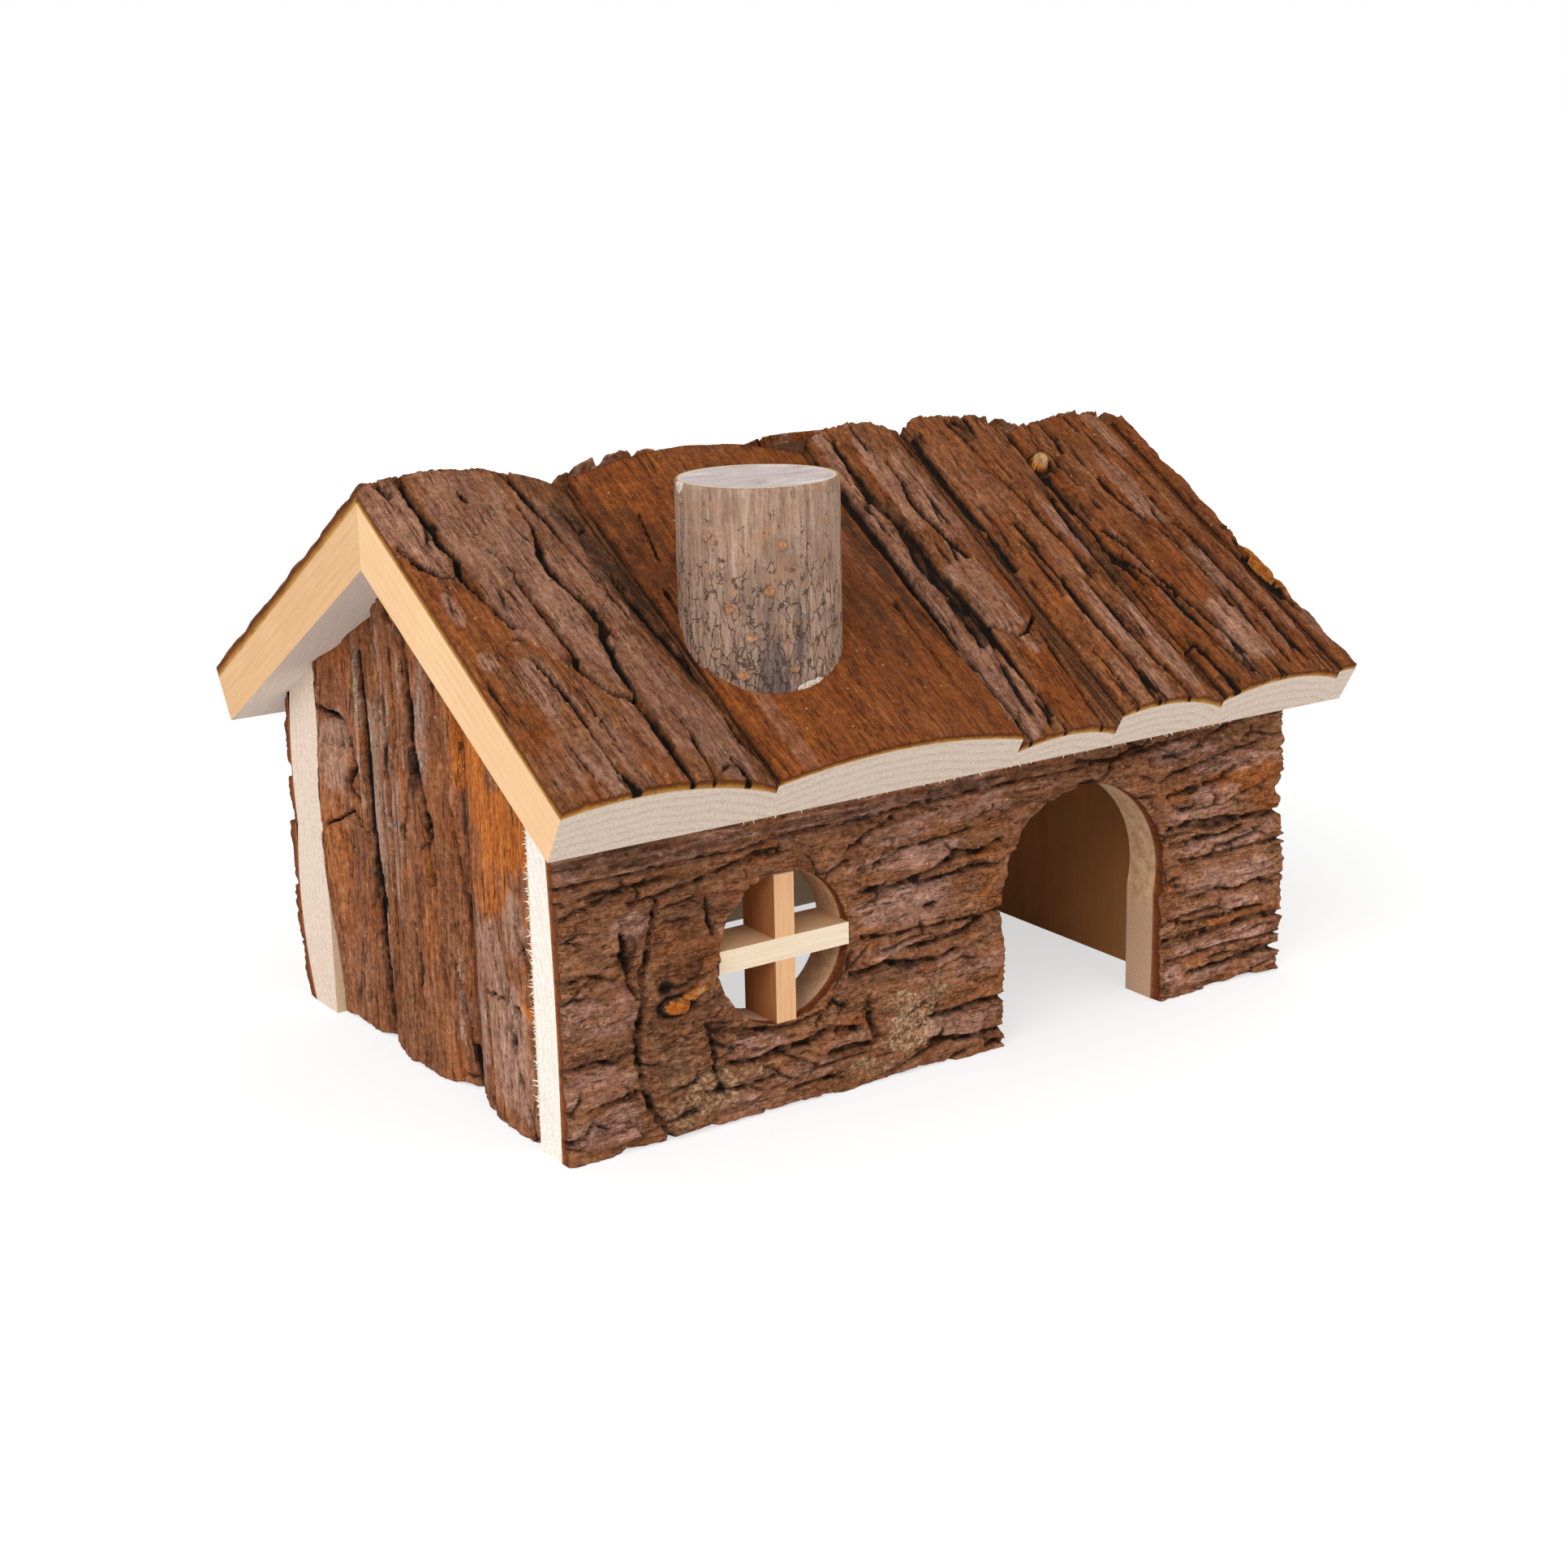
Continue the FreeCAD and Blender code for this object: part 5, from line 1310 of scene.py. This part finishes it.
def gable_slab(name, side, seed, step):
    """The rind of an upright slab in a gable."""
    (_, y0, _), (_, y1, _) = box_of(name)
    line = np.linspace(y0, y1, max(int((y1 - y0) / step), 5) + 1)
    probes = np.clip(line, y0 + INSET, y1 - INSET)
    stations = (5.0, 45.0)
    out = np.array([side, 0.0, 0.0])

    def spot(y, z):
        return np.array([0, y, z])

    ends, middles = round_face(f"{name}_bark", line, probes, spot, out, stations, 130)
    wood, _ = round_face(name, line, probes, spot, out, stations[:1], 130)

    top = roof_height(np.abs(line - RIDGE_Y))
    u = np.linspace(0, 1, int(top.max() / step) + 1)[:, None]
    z = u * top
    y = np.broadcast_to(line, z.shape)
    if side < 0:
        bark = left_gable_bark(z, y, seed)
    else:
        bark = right_gable_bark(z, y, seed, furrow_lines(stations, middles, 60, seed + 30))
    tint_scales(bark, z, y, seed, 0.15, 0.35, 0.6)

    seam = 1 - smooth(0.0, 1.0, np.minimum(y - y0, y1 - y) + 0.5 * fbm(z / 8, y / 3, 3, seed + 80))
    if name == "left_gable_3":
        # Thick bark hides the corner with the back wall.
        swell = smooth(y1 - 9, y1 - 1, y) * (0.35 + 0.65 * smooth(0, 40, z))
        bark.height = bark.height + 4.2 * swell
        seam = seam * (y < y1 - 5)
    bark.height = bark.height - bark.depth - 1.2 * seam
    bark.crack = np.maximum(np.maximum(bark.crack * 0.85, bark.dark), 0.6 * seam)

    total = np.maximum(ends[0] + bark.height, wood[0] + 0.2 + 0.3 * bark.crack)
    chips = foot_chips(y / 9, z, 0.6, 1.2, 1.8, 3, seed + 84)
    outer = np.stack([side * total, y, z + chips], -1)
    inner = np.stack([side * np.broadcast_to(wood[0], z.shape), y, z], -1)
    rind(name, outer, inner, grid_faces(*z.shape), bark, GABLE_BARK, flip=side > 0, sawn=u < 0.005)


GABLE_BARK = bark_material("bark_gables", (0, QUARTER, 0), GABLE_TONES, 1.12)
for number in (1, 2, 3):
    gable_slab(f"left_gable_{number}", -1, 400 + number, STEP)
for number in (1, 2):
    gable_slab(f"right_gable_{number}", 1, 500 + number, STEP * COARSE)


# ---------------------------------------------------------------- chimney

def turn_from(angle, middle, full):
    """Angle from a middle one, from minus half a full turn to half of one."""
    return (angle - middle + full / 2) % full - full / 2


def scribed_foot(angles, cx, cy, radius):
    """Height of the chimney's foot at each angle. It sinks a little into the roof's bark."""
    seats = [tree_of(f"front_slab_{number}_bark") for number in (1, 2)]
    foot = []
    for t in angles:
        start = Vector(((cx + radius * math.cos(t)) * MM, (cy + radius * math.sin(t)) * MM, 0.3))
        hits = [seat.ray_cast(start, Vector((0, 0, -1)))[0] for seat in seats]
        foot.append(max(hit.z for hit in hits if hit is not None) / MM)
    return np.array(foot) - 0.9


def chimney_relief(angle, z, u, foot, radius, top):
    """Bark of the chimney. U goes from 0 at its foot to 1 at its top."""
    arc = angle * radius
    low_down = np.clip(1 - (z - foot) / 26, 0, 1)
    upright = np.abs(noise(z / 6, arc / 0.8, 601) + 0.3 * noise(z / 1.5, arc / 0.6, 602))
    crack = 0.6 * smooth(0.09, 0.0, upright) * smooth(0.35, 0.8, noise(z / 9, arc / 5, 603) + 0.75 * low_down)
    lobes = 0.25 * np.sin(2 * angle + 0.6) + 0.18 * np.sin(3 * angle + 2.0)
    height = lobes + 0.10 * fbm(z / 8, arc / 1.2, 3, 605) - 0.26 * crack - 0.25 * smooth(0.985, 1.0, u)

    # Two chips: one at the foot and one at the top.
    chip = np.zeros_like(z)
    for degrees, wide, above, seed in ((-86, 15, z - foot - 0.9, 612), (168, 9, z - top + 0.9, 613)):
        d = np.hypot(turn_from(np.degrees(angle), degrees, 360) / wide, above / 1.5)
        chip = np.maximum(chip, smooth(1.0, 0.6, d + 0.25 * fbm(arc / 1.5, z / 1.5, 3, seed)))

    twig, ring = np.zeros_like(z), np.zeros_like(z)
    for degrees, middle, wide, tall, kind in CHIMNEY_KNOTS:
        across = turn_from(angle, math.radians(degrees), 2 * np.pi) * radius
        d = np.hypot(across / wide, (z - middle) / tall) + 0.15 * noise(arc / 0.8, z / 0.8, 609)
        height = height + 0.35 * peak(d, 0.3, 0.9)
        if kind > 0:
            twig = np.maximum(twig, kind * (1 - smooth(0.6, 1.0, d)))
            ring = np.maximum(ring, 0.55 * peak(d, 0.16, 1.15))
        else:
            twig = np.maximum(twig, -kind * peak(d, 0.2, 0.85))
            ring = np.maximum(ring, 0.35 * (1 - smooth(0.3, 0.6, d)))
    crack = np.maximum(crack * (twig < 0.2), ring) * (1 - chip)
    # The chimney's material takes grey for how far up a point is, and dust for the chips.
    return SimpleNamespace(height=height, crack=crack, grey=u, dust=chip, twig=twig, warm=0, stain_and_shade=0, shade=0)


def chimney_rind():
    """The rind of the chimney, in rings from its scribed foot to its sawn top."""
    low, high = box_of("chimney_bark")
    cx, cy = (low[:2] + high[:2]) / 2
    radius, top = (high[0] - low[0]) / 2, high[2]
    core = np.ptp(box_of("chimney_log")[:, 0]) / 2
    angles = np.linspace(0, 2 * math.pi, int(2 * math.pi * radius / (STEP * 0.8)), endpoint=False)
    foot = scribed_foot(angles, cx, cy, radius)
    u = np.linspace(0, 1, int((top - foot.min()) / (STEP * 0.9)) + 1)[:, None]
    z = foot + u * (top - foot)
    angle = np.broadcast_to(angles, z.shape)
    bark = chimney_relief(angle, z, u, foot, radius, top)

    def points(r):
        return np.stack([cx + r * np.cos(angle), cy + r * np.sin(angle), z], -1)

    i = np.arange(z.size).reshape(z.shape)
    j = np.roll(i, -1, axis=1)
    faces = np.stack([i[:-1], j[:-1], j[1:], i[1:]], -1).reshape(-1, 4)
    outer, inner = points(radius + bark.height), points(core)
    rind("chimney", outer, inner, faces, bark, chimney_material(cx, cy), rows=4)


def chimney_material(cx, cy):
    """Grey-brown bark with blotches, stains, a web of cracks, knots and chips."""
    t = Material("bark_chimney", roughness=0.8, specular=0.15)
    axis = (cx, cy, 0)
    along = t.place(axis, scale=(1, 1, 0.07))
    plain = t.place(axis)
    fine = t.noise(along, 3.4, 6, 0.66)
    rough = t.noise(plain, 1.6, 6, 0.72)
    crack, above_foot, _, _ = t.marks("marks")
    _, chip, section, twig = t.marks("tones")

    grain = t.noise(along, 1, 7, 0.62) * 0.45 + fine * 0.3 + rough * 0.25
    base = t.ramp(grain, (0.34, 0.46, 0.55, 0.68),
                  ((102, 76, 62), (158, 126, 106), (184, 154, 133), (214, 190, 168)))
    base = t.mix(t.step(t.noise(plain, 0.09, 4, 0.6), 0.46, 0.64) * 0.45, base, (118, 92, 78))
    base = t.mix(t.step(t.noise(plain, 0.16, 4, 0.6), 0.52, 0.66) * 0.35, base, (176, 124, 86))
    # Grey stains run down the side that faces the front.
    for middle, stretch, strength in (((-5.5, -15, 86), (0.30, 0.08, 0.07), 0.8),
                                      ((-1, -15, 97), (0.55, 0.08, 0.12), 0.85),
                                      ((-9.5, -15, 94), (0.22, 0.08, 0.07), 0.35)):
        away = t.vector_math("MULTIPLY", t.vector_math("SUBTRACT", plain, middle), stretch)
        away = t.add("ShaderNodeVectorMath", {0: away}, "Value", operation="LENGTH")
        away = away + (t.noise(along, 0.5, 4, 0.6) - 0.5) * 2.2 + (t.noise(plain, 0.5, 6, 0.7) - 0.5) * 1.6
        base = t.mix((1 - t.step(away, 0.2, 1.3)) * strength, base, (88, 78, 78))

    knot = t.ramp(rough, (0.35, 0.5, 0.65), ((140, 78, 40), (200, 134, 82), (228, 184, 130)))
    base = t.mix(twig * 0.9, base, knot)
    # A web of thin crooked cracks, thick at the foot and gone at the top.
    bend = t.vector_math("SCALE", t.noise(plain, 0.55, 2, 0.5, output="Color"), 1.9)
    bent = t.vector_math("ADD", t.place(axis, scale=(1, 1, 0.36)), bend)
    web = t.add("ShaderNodeTexVoronoi", {"Vector": bent, "Scale": 0.62}, "Distance",
                feature="DISTANCE_TO_EDGE")
    here = t.step(t.noise(plain, 0.4, 3, 0.55) - above_foot * 0.34, 0.26, 0.38)
    web = (1 - t.step(web, 0.015, 0.075)) * here
    line = t.math("MAXIMUM", t.step(crack, 0.1, 0.8), web * (1 - twig))
    base = t.mix(line * 0.82, base, (64, 46, 38))
    # The chips show fresh wood.
    fresh = t.ramp(rough, (0.4, 0.55), ((196, 172, 150), (236, 224, 210)))
    base = t.mix(t.step(chip, 0.3, 0.6), base, fresh)
    layers = t.ramp(section, (0.0, 0.3, 0.7, 1.0),
                    ((150, 122, 96), (196, 164, 112), (226, 204, 168), (228, 216, 206)))
    base = t.mix(t.step(section, 0.02, 0.3), base, layers)
    return t.finish(base, fine + rough * 0.6 - web * 0.6, 0.8, 0.0004)


chimney_rind()


# ---------------------------------------------------------------- splinters left by the saw

def torn_wood():
    """White torn fibre."""
    t = Material("wood_torn", roughness=0.8, specular=0.15)
    plain = t.place()
    colour = t.ramp(t.noise(plain, 1.4, 5, 0.65), (0.35, 0.5, 0.62),
                    ((206, 182, 150), (240, 228, 208), (252, 246, 236)))
    return t.finish(colour, t.noise(plain, 4, 4, 0.6), 0.4, 0.0002)


def splinters(name, start, end, toward, count, longest, seed):
    """Torn fibres along an edge, each a thin bent sliver that lies on the wood and lifts at its tip."""
    start, end, toward = (np.array(v, float) for v in (start, end, toward))
    along = (end - start) / np.linalg.norm(end - start)
    lift = np.cross(along, toward)
    vertices, faces = [], []
    for k in range(count):
        pick = [float(hashed(np.array(k), np.array(j), seed)) for j in range(6)]
        foot = start + (end - start) * (k + pick[0]) / count
        length = longest * (0.25 + 0.75 * pick[1] ** 2)
        lean = toward + along * (pick[2] - 0.5) * 2.4
        lean = lean / np.linalg.norm(lean)
        side = np.cross(lean, lift)
        wide = 0.10 + 0.16 * pick[3]
        first = len(vertices)
        for t in (0.0, 0.35, 0.7, 1.0):
            raised = 0.05 + (0.5 * pick[4] - 0.1) * length * t * t
            middle = foot - lean * 0.25 + lean * length * t + lift * raised
            half = wide * (1 - 0.85 * t)
            vertices += [middle - side * half, middle + lift * half * 0.8,
                         middle + side * half, middle - lift * half * 0.5]
        for row in range(3):
            for corner in range(4):
                a, b = first + row * 4 + corner, first + row * 4 + (corner + 1) % 4
                faces.append((a, b, b + 4, a + 4))
    o = add_object(name, vertices, faces, splinter_material)
    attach(o, "root")


def all_splinters():
    """Splinters on the front wall's left end and foot, and on the front eave and its seams."""
    (x, _, _), (_, y, _) = box_of("front_wall")
    splinters("splinters_wall_end", (x, y, 4), (x, y, 76), (-0.25, 1, 0), 150, 1.5, 900)
    down, out = roof_frame(-1)
    eave = RIDGE + down * (FRONT_SLOPE - 0.1)
    for number, seam_x in enumerate((-52.6, 6.7, 32.7, 61.7), 1):
        seam = eave + ALONG * seam_x
        name = f"splinters_seam_{number}"
        splinters(name, seam + out * 4.0, seam - out * 0.2, (0.35, -1, 0), 9, 1.3, 910 + number)
    splinters("splinters_eave", eave - ALONG * 60, eave + ALONG * 70, (0, -0.5, -1), 90, 1.1, 930)
    splinters("splinters_wall_foot", (x, -52, 0.3), (x, y, 0.3), (-1, 0, 0.2), 14, 0.9, 940)


splinter_material = torn_wood()
all_splinters()


# ---------------------------------------------------------------- wood of the solids

# Along the ridge, where each roof log's pith is, and the radius of the log.
FRONT_PITHS = [(-83.0, 75), (-24.1, 115), (19.2, 36), (43.2, 40), (78.7, 46), (97.7, 20)]
BACK_PITHS = [(-83.0, 60), (-36.0, 60), (6.0, 95), (48.0, 55), (83.0, 50)]
CROWN = 12.5  # of a usual roof slab
UPRIGHT = (0, QUARTER, 0)


def dress_roof(half, side, piths, age, colour):
    """Wood of one half of the roof. Its underside's pale grey-pink is painted light and shade."""
    _, out = roof_frame(side)
    for number, (x, radius) in enumerate(piths, 1):
        pith = RIDGE + ALONG * x + out * (CROWN - radius)
        rotation = (side * PITCH, 0, QUARTER)
        wood = Wood(f"wood_{half}_{number}", tuple(pith), rotation, colour, seed=number * age)
        # Painted light and shade: the underside's own pale grey-pink tone, copied from its look in the shade
        # under the roof.
        wood.facet(2, -1, (232, 217, 203))
        wood.hidden_sides(0, ROOF_END - 0.5)
        wood.mitre()
        wood.dress(f"{half}_slab_{number}")


def dress_wall(name, y, z, end):
    """Wood of a long wall slab, with the walls of its openings."""
    wood = Wood(f"wood_{name}", (0, y, z), (0, 0, 0), (226, 200, 168), end, contrast=0.55)
    wood.openings(-88, 92, (212, 172, 142))
    wood.dress(name)


def dress_gable(which, x, places, **look):
    """Wood of a gable's slabs."""
    for number, y in enumerate(places, 1):
        wood = Wood(f"wood_{which}_gable_{number}", (x, y, 0), UPRIGHT, **look)
        wood.hidden_sides(1, 200)
        wood.dress(f"{which}_gable_{number}")


def dress_chimney():
    cx, cy, _ = box_of("chimney_log").sum(0) / 2
    wood = Wood("wood_chimney", (cx + 1.5, cy - 1.0, 0), UPRIGHT, end=(200, 186, 182), ring=1.3, contrast=0.8,
                smudge=(158, 146, 152))
    wood.dress("chimney_log")


def dress_window():
    wood = Wood("wood_upright", (-60, -40, 34), UPRIGHT, (226, 176, 130), ring=1.6, contrast=1.3)
    # The upright's sides are darker orange-brown: an orange stain, and painted shade inside the window.
    wood.facet(0, 1, (176, 112, 66))
    wood.facet(0, -1, (176, 112, 66))
    wood.dress("window_upright")
    wood = Wood("wood_rail", (-40, -40, 0), (0, 0, 0), (238, 219, 192), ring=1.6, contrast=0.8)
    wood.facet(2, 1, (220, 176, 134))
    # Painted shade: the rail's underside is a darker tan than its top.
    wood.facet(2, -1, (200, 160, 120))
    wood.dress("window_rail")


dress_roof("front", -1, FRONT_PITHS, 0.7, (238, 197, 150))
dress_roof("back", 1, BACK_PITHS, 0.9, (222, 178, 131))
dress_wall("front_wall", 12.5, 20, (246, 240, 228))
dress_wall("back_wall_1", -9.5, 27, (227, 207, 189))
dress_wall("back_wall_2", -27, 55, (227, 207, 189))
dress_gable("left", -30, (-37, 6, 36))
dress_gable("right", 10, (-24, 24), side=(192, 130, 78), contrast=1.3)
dress_chimney()
dress_window()


# ---------------------------------------------------------------- stage, light and camera

def floor_material():
    """A white floor. The camera sees it with a softer shadow than its own light would give."""
    t = Material("floor_white", roughness=0.9, specular=0.0)
    t.shader.inputs["Base Color"].default_value = (0.82, 0.82, 0.82, 1)
    seen = t.add("ShaderNodeBsdfDiffuse", {"Color": (0.42, 0.42, 0.42, 1)})
    glow = t.add("ShaderNodeEmission", {"Color": (1, 1, 1, 1), "Strength": 0.62})
    both = t.add("ShaderNodeAddShader", {0: seen, 1: glow})
    by_camera = t.add("ShaderNodeLightPath", output="Is Camera Ray")
    shader = Value(t, t.shader.outputs[0])
    pick = t.add("ShaderNodeMixShader", {0: by_camera, 1: shader, 2: both})
    t.put(t.tree.nodes["Material Output"].inputs["Surface"], pick)
    return t.data


def add_floor():
    half = 9000
    corners = [(-half, -half, 0), (half, -half, 0), (half, half, 0), (-half, half, 0)]
    add_object("floor", corners, [(0, 1, 2, 3)], floor_material())


def add_world():
    """Even light from all round. The camera sees it as white."""
    world = bpy.data.worlds.new("studio")
    bpy.context.scene.world = world
    world.use_nodes = True
    nodes, links = world.node_tree.nodes, world.node_tree.links
    back = nodes["Background"]
    back.inputs["Color"].default_value = (1, 1, 1, 1)
    path = nodes.new("ShaderNodeLightPath")
    level = nodes.new("ShaderNodeMix")
    level.inputs[2].default_value = 0.66
    level.inputs[3].default_value = 1.0
    links.new(path.outputs["Is Camera Ray"], level.inputs[0])
    links.new(level.outputs[0], back.inputs["Strength"])


def add_sun(name, direction, strength, angle):
    """A broad soft light from far away, so that the whole floor is lit alike."""
    light = bpy.data.lights.new(name, "SUN")
    light.energy = strength
    light.angle = math.radians(angle)
    o = bpy.data.objects.new(name, light)
    bpy.context.scene.collection.objects.link(o)
    o.rotation_euler = (-Vector(direction)).to_track_quat("-Z", "Y").to_euler()


def add_camera(place, azimuth, elevation, roll, lens):
    """A camera at a place in mm, turned by angles in degrees."""
    azimuth, elevation, roll = (math.radians(v) for v in (azimuth, elevation, roll))
    level = math.cos(elevation)
    away = Vector((math.sin(azimuth) * level, -math.cos(azimuth) * level, math.sin(elevation)))
    right = (-away).cross(Vector((0, 0, 1))).normalized()
    up = right.cross(-away)
    tilted_right = math.cos(roll) * right + math.sin(roll) * up
    tilted_up = -math.sin(roll) * right + math.cos(roll) * up
    camera = bpy.data.cameras.new("camera")
    camera.sensor_width = 36.0
    camera.lens = lens
    camera.clip_start, camera.clip_end = 0.01, 20
    view = bpy.data.objects.new("camera", camera)
    bpy.context.scene.collection.objects.link(view)
    turn = Matrix((tilted_right, tilted_up, away)).transposed().to_4x4()
    view.matrix_world = Matrix.Translation(Vector(place) * MM) @ turn
    bpy.context.scene.camera = view


add_floor()
add_world()
add_sun("key", (-0.95, -0.42, 0.85), 1.75, 45)
add_sun("fill", (0.25, -1.0, 0.40), 0.75, 60)
# The photograph's view, solved on the straight edges of the house.
add_camera((-305.27, -456.16, 199.46), -33.85, 15.44, -1.22, 57.93)
bpy.context.scene.view_settings.view_transform = "Standard"
